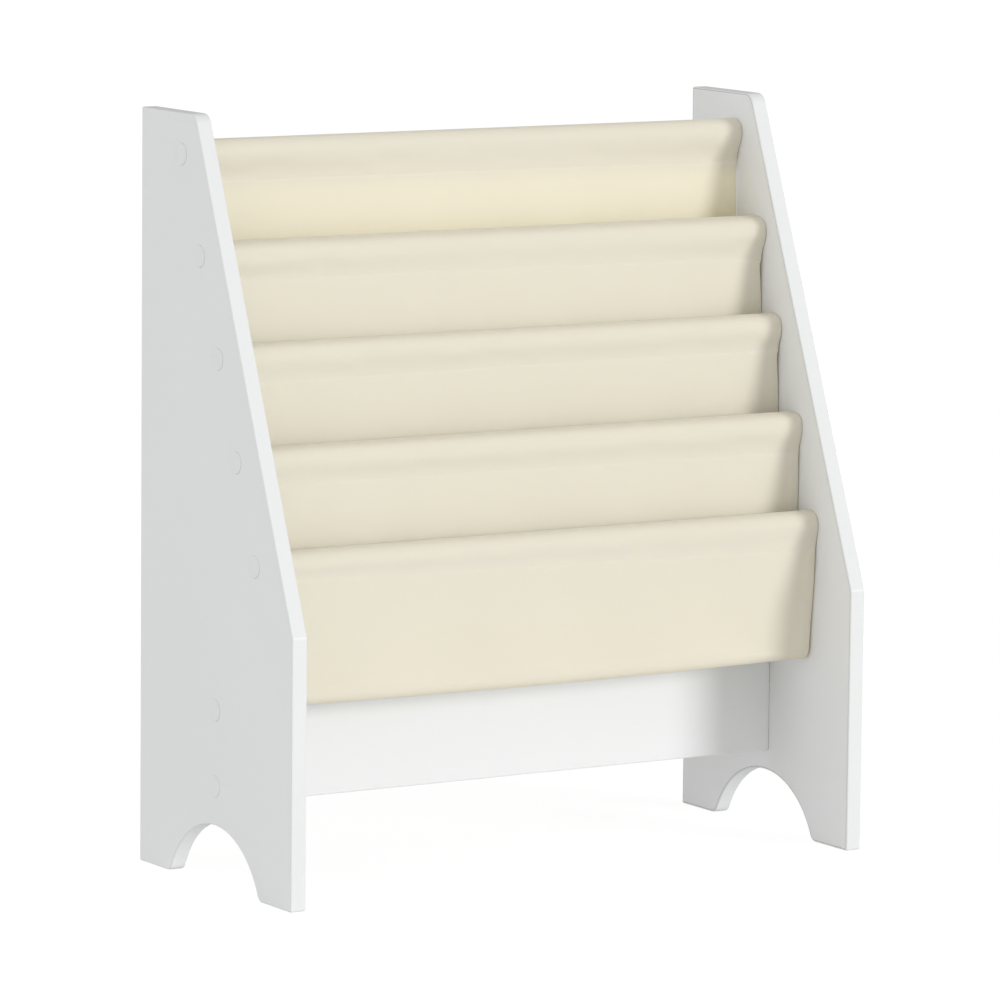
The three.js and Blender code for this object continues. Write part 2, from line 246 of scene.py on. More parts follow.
@dataclass
class Shell:
    """Vertices and faces gathered for one mesh.

    Attributes:
        name: The piece's name.
        places: Each vertex's place.
        marks: By attribute, how much of a rounded-over edge, of an edging's joint and of the
            edging itself each vertex is, 0 to 1.
        faces: Each face's vertices, going round it as seen from outside.
    """

    name: str
    places: list[Point3] = field(default_factory=list)
    marks: dict[str, list[float]] = field(
        default_factory=lambda: {"rounded_edge": [], "edging_joint": [], "edging_band": []}
    )
    faces: list[list[int]] = field(default_factory=list)

    def ring(self, points: list[Point3], **marked: float) -> list[int]:
        """Adds a closed ring of vertices, with marks by attribute, and returns their numbers."""
        first = len(self.places)
        self.places += points
        for label, values in self.marks.items():
            values += [marked.get(label, 0.0)] * len(points)
        return list(range(first, first + len(points)))

    def bridge(self, lower: list[int], upper: list[int]) -> None:
        """Joins two rings that run the same way round with a band of four-sided faces."""
        count = len(lower)
        for i in range(count):
            j = (i + 1) % count
            self.faces.append([lower[i], lower[j], upper[j], upper[i]])

    def skin(self, rings: list[list[int]], side: Side = Side.RIGHT) -> None:
        """Joins each ring to the next one, seen from outside as they run towards a side."""
        for one, other in zip(rings, rings[1:]):
            self.bridge(*((one, other) if side is Side.RIGHT else (other, one)))

    def lid(self, ring: list[int], facing: float) -> None:
        """Closes a ring with one face, towards +X for 1 and -X for -1."""
        self.faces.append(ring if facing > 0 else ring[::-1])

    def plate(self, loops: list[list[int]], facing: float) -> None:
        """Fills a flat face that lies square to X.

        Args:
            loops: The outline's vertices, then each hole's.
            facing: 1 for a face towards +X and -1 for one towards -X.
        """
        flat = [[Vector((*self.places[v][1:], 0.0)) for v in loop] for loop in loops]
        numbers = [v for loop in loops for v in loop]
        spots = [p for loop in flat for p in loop]
        for a, b, c in tessellate_polygon(flat):
            turn = (spots[b] - spots[a]).cross(spots[c] - spots[a]).z
            corners = [a, b, c] if turn * facing > 0 else [a, c, b]
            self.faces.append([numbers[v] for v in corners])

    def finish(self, material: Material, sharp: float) -> Piece:
        """Makes the mesh and its object.

        Args:
            material: What the piece is finished with.
            sharp: Edges that turn by more than this many degrees stay crisp.

        Returns:
            The piece, shaded smooth, with its flat faces kept flat.
        """
        mesh = bpy.data.meshes.new(self.name)
        mesh.from_pydata(self.places, [], self.faces)
        for label, marks in self.marks.items():
            mesh.attributes.new(label, "FLOAT", "POINT").data.foreach_set("value", marks)
        mesh.materials.append(material)
        mesh.shade_smooth()
        mesh.set_sharp_from_angle(angle=math.radians(sharp))
        piece = put_in_scene(self.name, mesh)
        flatten = piece.modifiers.new("flat faces stay flat", "WEIGHTED_NORMAL")
        flatten.mode = "FACE_AREA"
        flatten.keep_sharp = True
        return piece


@dataclass
class NodeSheet:
    """Places nodes in one node tree, from left to right."""

    tree: bpy.types.NodeTree
    placed: int = 0

    @classmethod
    def blank(cls, owner: bpy.types.ID) -> "NodeSheet":
        """Starts an empty tree for a material or a world."""
        owner.use_nodes = True
        owner.node_tree.nodes.clear()
        return cls(owner.node_tree)

    def add(self, kind: str, **settings: object) -> bpy.types.Node:
        """Adds a node.

        Args:
            kind: The node's type name.
            **settings: The node's own properties.

        Returns:
            The new node.
        """
        node = self.tree.nodes.new(kind)
        node.location = (220 * self.placed, 0)
        self.placed += 1
        for key, value in settings.items():
            setattr(node, key, value)
        return node

    def wire(self, source: Socket, target: Socket) -> None:
        """Links an output to an input."""
        self.tree.links.new(source, target)

    def feed(self, value: object, target: Socket) -> None:
        """Gives an input a socket's value, or a constant one, or leaves it for None."""
        if isinstance(value, Socket):
            self.wire(value, target)
        elif value is not None:
            target.default_value = value

    def sum(self, operation: str, first: object, second: object = None) -> Socket:
        """Adds a Math node whose inputs are sockets or numbers, and returns its output."""
        node = self.add("ShaderNodeMath", operation=operation)
        for place, value in enumerate((first, second)):
            self.feed(value, node.inputs[place])
        return node.outputs[0]

    def blend(self, share: Socket, low: object, high: object) -> Socket:
        """Adds a colour mix.

        Args:
            share: How much of the second colour shows.
            low: The first colour, as a socket or four numbers.
            high: The second colour.

        Returns:
            The mixed colour's socket.
        """
        node = self.add("ShaderNodeMix", data_type="RGBA")
        self.wire(share, node.inputs["Factor"])
        self.feed(low, node.inputs[6])
        self.feed(high, node.inputs[7])
        return node.outputs[2]

    def fit(
        self, value: Socket, low: float = 0.0, high: float = 1.0, given: Point2 = (0.0, 1.0)
    ) -> Socket:
        """Stretches a value from the range that it is given in, to run from low to high."""
        node = self.add("ShaderNodeMapRange")
        self.wire(value, node.inputs["Value"])
        labels = ("From Min", "From Max", "To Min", "To Max")
        for label, number in zip(labels, (*given, low, high)):
            node.inputs[label].default_value = number
        return node.outputs["Result"]

    def stretched(self, vector: Socket, scale: Point3) -> Socket:
        """Scales a place along each axis and returns its socket."""
        node = self.add("ShaderNodeVectorMath", operation="MULTIPLY")
        self.wire(vector, node.inputs[0])
        node.inputs[1].default_value = scale
        return node.outputs[0]

    def show_to_camera(
        self, unseen: bpy.types.Node, shown: bpy.types.Node, output_kind: str
    ) -> None:
        """Gives the camera's own rays one shader and all others another, at a new output."""
        seen = self.add("ShaderNodeLightPath")
        mix = self.add("ShaderNodeMixShader")
        self.wire(seen.outputs["Is Camera Ray"], mix.inputs["Fac"])
        self.wire(unseen.outputs[0], mix.inputs[1])
        self.wire(shown.outputs[0], mix.inputs[2])
        self.wire(mix.outputs[0], self.add(output_kind).inputs["Surface"])

    def noise(self, vector: Socket, scale: object, detail: float) -> Socket:
        """Adds a noise over a place and returns its value. The scale may be a socket."""
        node = self.add("ShaderNodeTexNoise")
        self.wire(vector, node.inputs["Vector"])
        self.feed(scale, node.inputs["Scale"])
        node.inputs["Detail"].default_value = detail
        return node.outputs["Fac"]


class Effects:
    """The shader node groups that the finishes share, each built once.

    Attributes:
        DIP: How high a thread still stands where it passes under another.
        SLUB: How often a thread's thickness changes, along it and across it, per metre.
        PORE_EDGES: The noise values between which a pore comes to its full depth.
        WEAR_PATCHES: How many patches of rubbing there are to a metre.
    """

    DIP = 0.3
    SLUB = (22.0, 700.0)
    PORE_EDGES = (0.62, 0.74)
    WEAR_PATCHES = 60.0

    def __init__(self) -> None:
        """Builds every group."""
        self.weave = self._weave()
        self.grain = self._grain()
        self.mottle = self._mottle()
        self.edge_wear = self._edge_wear()

    @staticmethod
    def _start(
        name: str, numbers: dict[str, float], *outputs: str
    ) -> tuple[bpy.types.NodeTree, NodeSheet, bpy.types.Node, bpy.types.Node]:
        """Starts a node group that takes a place and some numbers.

        Args:
            name: The group's name.
            numbers: Its number inputs, with their usual values.
            *outputs: Its outputs, which are numbers too.

        Returns:
            The group, its sheet, and its input and output nodes.
        """
        group = bpy.data.node_groups.new(name, "ShaderNodeTree")
        group.interface.new_socket("Place", in_out="INPUT", socket_type="NodeSocketVector")
        number = "NodeSocketFloat"
        for label, value in numbers.items():
            socket = group.interface.new_socket(label, in_out="INPUT", socket_type=number)
            socket.default_value = value
        for label in outputs:
            group.interface.new_socket(label, in_out="OUTPUT", socket_type=number)
        sheet = NodeSheet(group)
        return group, sheet, sheet.add("NodeGroupInput"), sheet.add("NodeGroupOutput")

    def _weave(self) -> bpy.types.NodeTree:
        """Plain weave: threads that pass over and under each other, some of them thicker."""
        group, sheet, given, made = self._start(
            "plain_weave", {"Threads per metre": 1800.0, "Slub": 0.5}, "Height", "Thread"
        )
        place = sheet.add("ShaderNodeSeparateXYZ")
        sheet.wire(given.outputs["Place"], place.inputs[0])
        turns = sheet.sum("MULTIPLY", given.outputs["Threads per metre"], math.pi)
        across = sheet.sum("MULTIPLY", place.outputs["X"], turns)
        along = sheet.sum("MULTIPLY", place.outputs["Y"], turns)
        over = sheet.sum("MULTIPLY", sheet.sum("COSINE", across), sheet.sum("COSINE", along))
        long_way, cross_way = self.SLUB
        sets, slub_noises = [], []
        for turn, half, stretch in (
            (across, 0.5, (cross_way, long_way, 1.0)),
            (along, -0.5, (long_way, cross_way, 1.0)),
        ):
            share = sheet.fit(sheet.sum("ADD", sheet.sum("MULTIPLY", over, half), 0.5), self.DIP)
            rounded = sheet.sum("ABSOLUTE", sheet.sum("SINE", turn))
            sets.append(sheet.sum("MULTIPLY", rounded, share))
            stretched = sheet.stretched(given.outputs["Place"], stretch)
            slub_noises.append(sheet.noise(stretched, 1.0, 2.0))
        threads = sheet.sum("MAXIMUM", *sets)
        slubs = sheet.sum("MULTIPLY", sheet.sum("ADD", *slub_noises), 0.5)
        raised = sheet.sum("MULTIPLY", slubs, given.outputs["Slub"])
        sheet.wire(sheet.sum("ADD", threads, raised), made.inputs["Height"])
        sheet.wire(slubs, made.inputs["Thread"])
        return group

    def _grain(self) -> bpy.types.NodeTree:
        """Wood grain along X: broad bands, fine fibres and short dark pores."""
        group, sheet, given, made = self._start(
            "wood_grain", {"Bands": 90.0}, "Band", "Pore", "Height"
        )
        band, fibre, pores = (
            sheet.noise(sheet.stretched(given.outputs["Place"], stretch), scale, detail)
            for stretch, scale, detail in (
                ((0.06, 1.0, 1.0), given.outputs["Bands"], 4.0),
                ((40.0, 1500.0, 1500.0), 1.0, 3.0),
                ((120.0, 2200.0, 2200.0), 1.0, 1.0),
            )
        )
        pore = sheet.fit(pores, given=self.PORE_EDGES)
        sheet.wire(band, made.inputs["Band"])
        sheet.wire(pore, made.inputs["Pore"])
        sheet.wire(sheet.sum("SUBTRACT", fibre, pore), made.inputs["Height"])
        return group

    def _mottle(self) -> bpy.types.NodeTree:
        """Faint cloudiness at two sizes."""
        group, sheet, given, made = self._start(
            "mottle", {"Cloud scale": 9.0, "Fine scale": 160.0}, "Cloud", "Fine"
        )
        for label in ("Cloud", "Fine"):
            cloud = sheet.noise(given.outputs["Place"], given.outputs[f"{label} scale"], 3.0)
            sheet.wire(cloud, made.inputs[label])
        return group

    def _edge_wear(self) -> bpy.types.NodeTree:
        """Where rounded-over edges are rubbed: the mesh's own edge marks, broken up by noise."""
        group, sheet, given, made = self._start("edge_wear", {"Amount": 0.5}, "Mask")
        mark = sheet.add("ShaderNodeAttribute", attribute_name="rounded_edge")
        patches = sheet.noise(given.outputs["Place"], self.WEAR_PATCHES, 4.0)
        patchy = sheet.sum("MULTIPLY", mark.outputs["Fac"], patches)
        sheet.wire(sheet.sum("MULTIPLY", patchy, given.outputs["Amount"]), made.inputs["Mask"])
        return group


@dataclass
class Painter:
    """One material's tree: a Principled surface, and the place that its textures read.

    Attributes:
        name: The material's name.
        place_attribute: A mesh attribute that holds the place, or nothing for the object's own.
    """

    name: str
    place_attribute: str = ""

    def __post_init__(self) -> None:
        """Makes the material with its surface and place nodes."""
        self.material = bpy.data.materials.new(self.name)
        self.sheet = NodeSheet.blank(self.material)
        if self.place_attribute:
            source = self.sheet.add("ShaderNodeAttribute", attribute_name=self.place_attribute)
            self.place = source.outputs["Vector"]
        else:
            self.place = self.sheet.add("ShaderNodeTexCoord").outputs["Object"]
        self.surface = self.sheet.add("ShaderNodeBsdfPrincipled")
        self.output = self.sheet.add("ShaderNodeOutputMaterial")
        self.sheet.wire(self.surface.outputs[0], self.output.inputs["Surface"])

    def effect(self, group: bpy.types.NodeTree, **values: float) -> bpy.types.Node:
        """Places a shared effect, with its own values, reading this material's place."""
        node = self.sheet.add("ShaderNodeGroup", node_tree=group)
        self.sheet.wire(self.place, node.inputs["Place"])
        for key, value in values.items():
            node.inputs[key.replace("_", " ")].default_value = value
        return node

    def set(self, **values: object) -> None:
        """Sets constants on the surface's own sockets, with _ for a space in their names."""
        for key, value in values.items():
            self.surface.inputs[key.replace("_", " ")].default_value = value

    def colour(self, socket: Socket) -> None:
        """Feeds the surface's colour."""
        self.sheet.wire(socket, self.surface.inputs["Base Color"])

    def roughness(self, socket: Socket, low: float, high: float) -> None:
        """Feeds the surface's roughness from a 0 to 1 value."""
        self.sheet.wire(self.sheet.fit(socket, low, high), self.surface.inputs["Roughness"])

    def bump(self, height: Socket, distance: float, strength: float = 1.0) -> None:
        """Adds a bump under any that is there already.

        Args:
            height: The 0 to 1 height over the surface.
            distance: What a height of 1 stands for, in metres.
            strength: How much of it shows.
        """
        node = self.sheet.add("ShaderNodeBump")
        node.inputs["Distance"].default_value = distance
        node.inputs["Strength"].default_value = strength
        self.sheet.wire(height, node.inputs["Height"])
        normal = self.surface.inputs["Normal"]
        if normal.is_linked:
            self.sheet.wire(normal.links[0].from_socket, node.inputs["Normal"])
        self.sheet.wire(node.outputs["Normal"], normal)


@dataclass(frozen=True)
class BoardLacquer:
    """Satin white lacquer on board: very slightly clouded, with a fine orange-peel surface, and
    painted shade that darkens its edging band.
    """

    low_colour: Colour = (0.811, 0.821, 0.820, 1.0)
    high_colour: Colour = (0.842, 0.851, 0.852, 1.0)
    rubbed_colour: Colour = (0.775, 0.776, 0.766, 1.0)
    joint_colour: Colour = (0.34, 0.33, 0.30, 1.0)
    edge_band_painted_shade: float = 0.075
    roughness: Point2 = (0.36, 0.48)
    peel_depth: float = 0.02 * MM

    def build(self, effects: Effects) -> Material:
        """Makes the material."""
        paint = Painter("board_white_lacquer")
        sheet = paint.sheet
        mottle = paint.effect(effects.mottle, Cloud_scale=5.0, Fine_scale=420.0)
        wear = paint.effect(effects.edge_wear, Amount=0.55)
        clouded = sheet.blend(mottle.outputs["Cloud"], self.low_colour, self.high_colour)
        worn = sheet.blend(wear.outputs["Mask"], clouded, self.rubbed_colour)
        # Painted shade: the edging band (the panels' edge faces and tops) is darkened by up to
        # 7.5% towards black, standing in for the dimmer light there.
        band = sheet.add("ShaderNodeAttribute", attribute_name="edging_band")
        shade = sheet.sum("MULTIPLY", band.outputs["Fac"], self.edge_band_painted_shade)
        shaded = sheet.blend(shade, worn, (0.0, 0.0, 0.0, 1.0))
        joint = sheet.add("ShaderNodeAttribute", attribute_name="edging_joint")
        paint.colour(sheet.blend(joint.outputs["Fac"], shaded, self.joint_colour))
        paint.roughness(mottle.outputs["Cloud"], *self.roughness)
        paint.bump(mottle.outputs["Fine"], self.peel_depth)
        paint.set(Specular_IOR_Level=0.45)
        return paint.material


@dataclass(frozen=True)
class MottledFinish:
    """A finish that is slightly clouded in its colour, with a fine texture.

    Attributes:
        name: The material's name.
        low_colour: Its colour where the clouds are thinnest.
        high_colour: Its colour where they are thickest.
        clouds: The clouds' noise scale, per metre.
        grains: The fine texture's.
        roughness: Its least and its most roughness, or nothing where it is constant.
        depth: The texture's depth, or 0 for none.
        constants: The surface's other values.
    """

    name: str
    low_colour: Colour
    high_colour: Colour
    clouds: float
    grains: float
    roughness: Point2 | None = None
    depth: float = 0.0
    constants: dict[str, float] = field(default_factory=dict)

    def build(self, effects: Effects) -> Material:
        """Makes the material."""
        paint = Painter(self.name)
        mottle = paint.effect(effects.mottle, Cloud_scale=self.clouds, Fine_scale=self.grains)
        paint.colour(paint.sheet.blend(mottle.outputs["Cloud"], self.low_colour, self.high_colour))
        if self.roughness:
            paint.roughness(mottle.outputs["Fine"], *self.roughness)
        if self.depth:
            paint.bump(mottle.outputs["Fine"], self.depth)
        paint.set(**self.constants)
        return paint.material


WHITE_PLASTIC = MottledFinish(
    name="cap_white_plastic",
    low_colour=(0.803, 0.811, 0.809, 1.0),
    high_colour=(0.834, 0.841, 0.839, 1.0),
    clouds=60.0,
    grains=1800.0,
    roughness=(0.30, 0.42),
    depth=0.012 * MM,
)
ZINC_STEEL = MottledFinish(
    name="screw_zinc_steel",
    low_colour=(0.62, 0.64, 0.67, 1.0),
    high_colour=(0.48, 0.49, 0.50, 1.0),
    clouds=220.0,
    grains=900.0,
    roughness=(0.22, 0.42),
    constants={"Metallic": 1.0},
)
COTTON_THREAD = MottledFinish(
    name="cream_cotton_thread",
    low_colour=(0.88, 0.86, 0.78, 1.0),
    high_colour=(0.82, 0.79, 0.69, 1.0),
    clouds=90.0,
    grains=3000.0,
    depth=0.08 * MM,
    constants={"Roughness": 0.85, "Specular_IOR_Level": 0.25, "Sheen_Weight": 0.1},
)


@dataclass(frozen=True)
class BeechWood:
    """Bare turned beech: pale pinkish brown, with fine fibres and short darker flecks."""

    pale: Colour = (0.66, 0.47, 0.29, 1.0)
    warm: Colour = (0.54, 0.35, 0.19, 1.0)
    fleck: Colour = (0.32, 0.18, 0.09, 1.0)
    roughness: Point2 = (0.50, 0.68)
    fibre_depth: float = 0.05 * MM

    def build(self, effects: Effects) -> Material:
        """Makes the material."""
        paint = Painter("rod_beech_wood")
        grain = paint.effect(effects.grain, Bands=110.0)
        banded = paint.sheet.blend(grain.outputs["Band"], self.pale, self.warm)
        paint.colour(paint.sheet.blend(grain.outputs["Pore"], banded, self.fleck))
        paint.roughness(grain.outputs["Band"], *self.roughness)
        paint.bump(grain.outputs["Height"], self.fibre_depth)
        return paint.material


@dataclass(frozen=True)
class CottonCanvas:
    """Cream cotton canvas in plain weave, which lets a little light through."""

    place_attribute: str
    pale: Colour = (0.977, 0.968, 0.904, 1.0)
    warm: Colour = (0.968, 0.955, 0.880, 1.0)
    thread_tint: Colour = (0.946, 0.925, 0.838, 1.0)
    through_tint: Colour = (0.98, 0.87, 0.49, 1.0)
    threads_per_metre: float = 1800.0
    weave_depth: float = 0.07 * MM
    rumple_depth: float = 0.5 * MM
    translucency: float = 0.35
    thread_range: Point2 = (-0.6, 1.2)
    thread_share: float = 0.3

    def build(self, effects: Effects) -> Material:
        """Makes the material."""
        paint = Painter("cream_cotton_canvas", self.place_attribute)
        sheet = paint.sheet
        weave = paint.effect(effects.weave, Threads_per_metre=self.threads_per_metre, Slub=0.6)
        mottle = paint.effect(effects.mottle, Cloud_scale=7.0, Fine_scale=55.0)
        clouded = sheet.blend(mottle.outputs["Cloud"], self.pale, self.warm)
        slubbed = sheet.fit(weave.outputs["Thread"], *self.thread_range)
        held = sheet.add("ShaderNodeClamp")
        sheet.wire(slubbed, held.inputs[0])
        share = sheet.sum("MULTIPLY", held.outputs[0], self.thread_share)
        paint.colour(sheet.blend(share, clouded, self.thread_tint))
        paint.set(Roughness=0.92, Specular_IOR_Level=0.2, Sheen_Weight=0.35, Sheen_Roughness=0.35)
        paint.bump(mottle.outputs["Fine"], self.rumple_depth, strength=0.35)
        paint.bump(weave.outputs["Height"], self.weave_depth, strength=0.8)
        through = sheet.add("ShaderNodeBsdfTranslucent")
        through.inputs["Color"].default_value = self.through_tint
        mix = sheet.add("ShaderNodeMixShader")
        mix.inputs["Fac"].default_value = self.translucency
        sheet.wire(paint.surface.outputs[0], mix.inputs[1])
        sheet.wire(through.outputs[0], mix.inputs[2])
        sheet.wire(mix.outputs[0], paint.output.inputs["Surface"])
        return paint.material


@dataclass
class Finishes:
    """Every finish on the shelf, built once."""

    effects: Effects = field(default_factory=Effects)
    cloth_place: str = "cloth_place"

    def __post_init__(self) -> None:
        """Builds the materials."""
        self.board = BoardLacquer().build(self.effects)
        self.cap = WHITE_PLASTIC.build(self.effects)
        self.beech = BeechWood().build(self.effects)
        self.zinc = ZINC_STEEL.build(self.effects)
        self.canvas = CottonCanvas(self.cloth_place).build(self.effects)
        self.thread = COTTON_THREAD.build(self.effects)


@dataclass
class Studio:
    """The plain pale floor, the soft light and the camera at the photograph's angle.

    Attributes:
        yaw: How far left of the front the camera stands, in degrees.
        pitch: How far it looks down.
        roll: How far it leans.
        distance: From the camera to the middle of the shelf.
        slide_right: How far the camera is slid along its own right.
        slide_up: How far it is slid up.
        lens: Focal length in millimetres on a 36 mm sensor.
        key_azimuth: How far right of the front the key light stands, in degrees.
        key_elevation: Its height above the horizon, in degrees.
        key_spread: The angle that it fills, which softens its shadows.
        key_strength: Its irradiance.
        even_fill: The surroundings' brightness all round.
        left_fill: How much brighter they are towards the left, where a white screen stands.
        over_fill: How much brighter they are overhead.
        front_fill: How much brighter they are in front.
        backdrop: The brightness that the surroundings show to the camera.
        floor_size: The floor's side.
        floor_paleness: How much of the light that falls on it the floor throws back.
        floor_glow: How much light it gives off by itself, as a lit sweep does.
        shown_paleness: Its paleness where the camera looks at it, so that shadows stay faint.
        shown_glow: Its glow there.
    """

    yaw: float = 31.80
    pitch: float = 7.902
    roll: float = 0.601
    distance: float = 5.834
    slide_right: float = -0.0057
    slide_up: float = -0.01475
    lens: float = 233.16
    key_azimuth: float = 31.0
    key_elevation: float = 11.0
    key_spread: float = 20.0
    key_strength: float = 1.56
    even_fill: float = 0.357
    left_fill: float = 0.90
    over_fill: float = 0.36
    front_fill: float = 0.10
    backdrop: float = 0.95
    floor_size: float = 90.0
    floor_paleness: float = 0.9
    floor_glow: float = 0.05
    shown_paleness: float = 0.2
    shown_glow: float = 0.865

    def build(self) -> None:
        """Makes the camera, the lights and the floor."""
        self._camera()
        self._surroundings()
        self._key()
        self._floor()
        bpy.context.scene.view_settings.view_transform = "Standard"

    def _camera(self) -> None:
        """Places the camera by its angles about the shelf's middle."""
        ahead = -heading(-self.yaw, self.pitch)
        yaw, roll = math.radians(self.yaw), math.radians(self.roll)
        level_right = Vector((math.cos(yaw), -math.sin(yaw), 0.0))
        level_up = level_right.cross(ahead)
        right = math.cos(roll) * level_right + math.sin(roll) * level_up
        up = -math.sin(roll) * level_right + math.cos(roll) * level_up
        middle = Vector((0.0, 0.0, (CAD_BOX[0].z + CAD_BOX[1].z) / 2))
        place = middle - ahead * self.distance + right * self.slide_right + up * self.slide_up
        data = bpy.data.cameras.new("camera")
        data.lens = self.lens
        camera = put_in_scene("camera", data)
        turn = Matrix((right, up, -ahead)).transposed().to_4x4()
        camera.matrix_world = Matrix.Translation(place) @ turn
        bpy.context.scene.camera = camera

    def _surroundings(self) -> None:
        """Soft light from all round, brighter from the left, the front and overhead."""
        world = bpy.data.worlds.new("soft_surroundings")
        sheet = NodeSheet.blank(world)
        way = sheet.add("ShaderNodeTexCoord")
        parts = sheet.add("ShaderNodeSeparateXYZ")
        sheet.wire(way.outputs["Generated"], parts.inputs[0])
        strength = self.even_fill
        fills = (("X", -self.left_fill), ("Y", -self.front_fill), ("Z", self.over_fill))
        for axis, fill in fills:
            towards = sheet.sum("MULTIPLY", parts.outputs[axis], fill)
            strength = sheet.sum("ADD", sheet.sum("MAXIMUM", towards, 0.0), strength)
        light = sheet.add("ShaderNodeBackground")
        sheet.wire(strength, light.inputs["Strength"])
        shown = sheet.add("ShaderNodeBackground")
        shown.inputs["Strength"].default_value = self.backdrop
        sheet.show_to_camera(light, shown, "ShaderNodeOutputWorld")
        bpy.context.scene.world = world

    def _key(self) -> None:
        """The broad key light, from the right of the front."""
        data = bpy.data.lights.new("key_light", "SUN")
        data.angle = math.radians(self.key_spread)
        data.energy = self.key_strength
        key = put_in_scene("key_light", data)
        key.rotation_mode = "QUATERNION"
        towards = heading(self.key_azimuth, self.key_elevation)
        key.rotation_quaternion = towards.to_track_quat("Z", "Y")

    def _floor(self) -> None:
        """A large pale floor."""
        half = self.floor_size / 2
        mesh = bpy.data.meshes.new("floor")
        corners = [(-half, -half, 0.0), (half, -half, 0.0), (half, half, 0.0), (-half, half, 0.0)]
        mesh.from_pydata(corners, [], [(0, 1, 2, 3)])
        floor = put_in_scene("floor", mesh)
        material = bpy.data.materials.new("pale_floor")
        sheet = NodeSheet.blank(material)
        surfaces = []
        shown = (self.shown_paleness, self.shown_glow)
        for paleness, glow in ((self.floor_paleness, self.floor_glow), shown):
            surface = sheet.add("ShaderNodeBsdfPrincipled")
            surface.inputs["Base Color"].default_value = (paleness, paleness, paleness, 1.0)
            surface.inputs["Roughness"].default_value = 0.9
            surface.inputs["Specular IOR Level"].default_value = 0.1
            surface.inputs["Emission Color"].default_value = (1.0, 1.0, 1.0, 1.0)
            surface.inputs["Emission Strength"].default_value = glow
            surfaces.append(surface)
        sheet.show_to_camera(*surfaces, "ShaderNodeOutputMaterial")
        mesh.materials.append(material)


def settle(piece: Piece, slot: Slot, *replaced: str) -> None:
    """Makes a piece ride on the shelf's body and stand for CAD nodes.

    Args:
        piece: The piece.
        slot: The material slot meant for it; not used.
        *replaced: The CAD nodes that it stands for.
    """
    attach(piece, BODY)
    if replaced:
        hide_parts(*replaced)
    LOG.info("%s: %d faces", piece.name, len(piece.data.polygons))


def middle_of(node: str) -> Point2:
    """The middle of a CAD node's box, in Y and Z."""
    low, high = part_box(node)
    return (low.y + high.y) / 2, (low.z + high.z) / 2


@dataclass
class Places:
    """Where things are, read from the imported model."""

    rod_count: int = 5

    def __post_init__(self) -> None:
        """Reads the panels', rods' and board's boxes."""
        left_low, left_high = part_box("left_side_panel")
        right_low, right_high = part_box("right_side_panel")
        self.outer_left, self.inner_left = left_low.x, left_high.x
        self.inner_right, self.outer_right = right_low.x, right_high.x
        self.front, self.back = left_low.y, left_high.y
        self.top = left_high.z
        rod_names = [f"rod_{number}" for number in range(1, self.rod_count + 1)]
        self.rods: list[Point2] = [middle_of(name) for name in rod_names]
        low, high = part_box("rod_1")
        self.rod_radius = (high.y - low.y) / 2
        self.board_low, self.board_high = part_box("cross_board")
        self.screws: dict[str, Point2] = {
            name: middle_of(f"screw_left_{name}")
            for name in [*rod_names, "board_lower", "board_upper"]
        }


@dataclass
class Bore:
    """A stepped round hole, bored along X into an end face of a board.

    Attributes:
        place: Its axis, in Y and Z.
        steps: Each ring's radius and depth, from the face inwards.
        through: Whether its last ring opens in the other end face.
        side: The end face that it starts from.
        facets: How many sides its rings have.
    """

    place: Point2
    steps: list[Point2]
    through: bool
    side: Side
    facets: int = 48


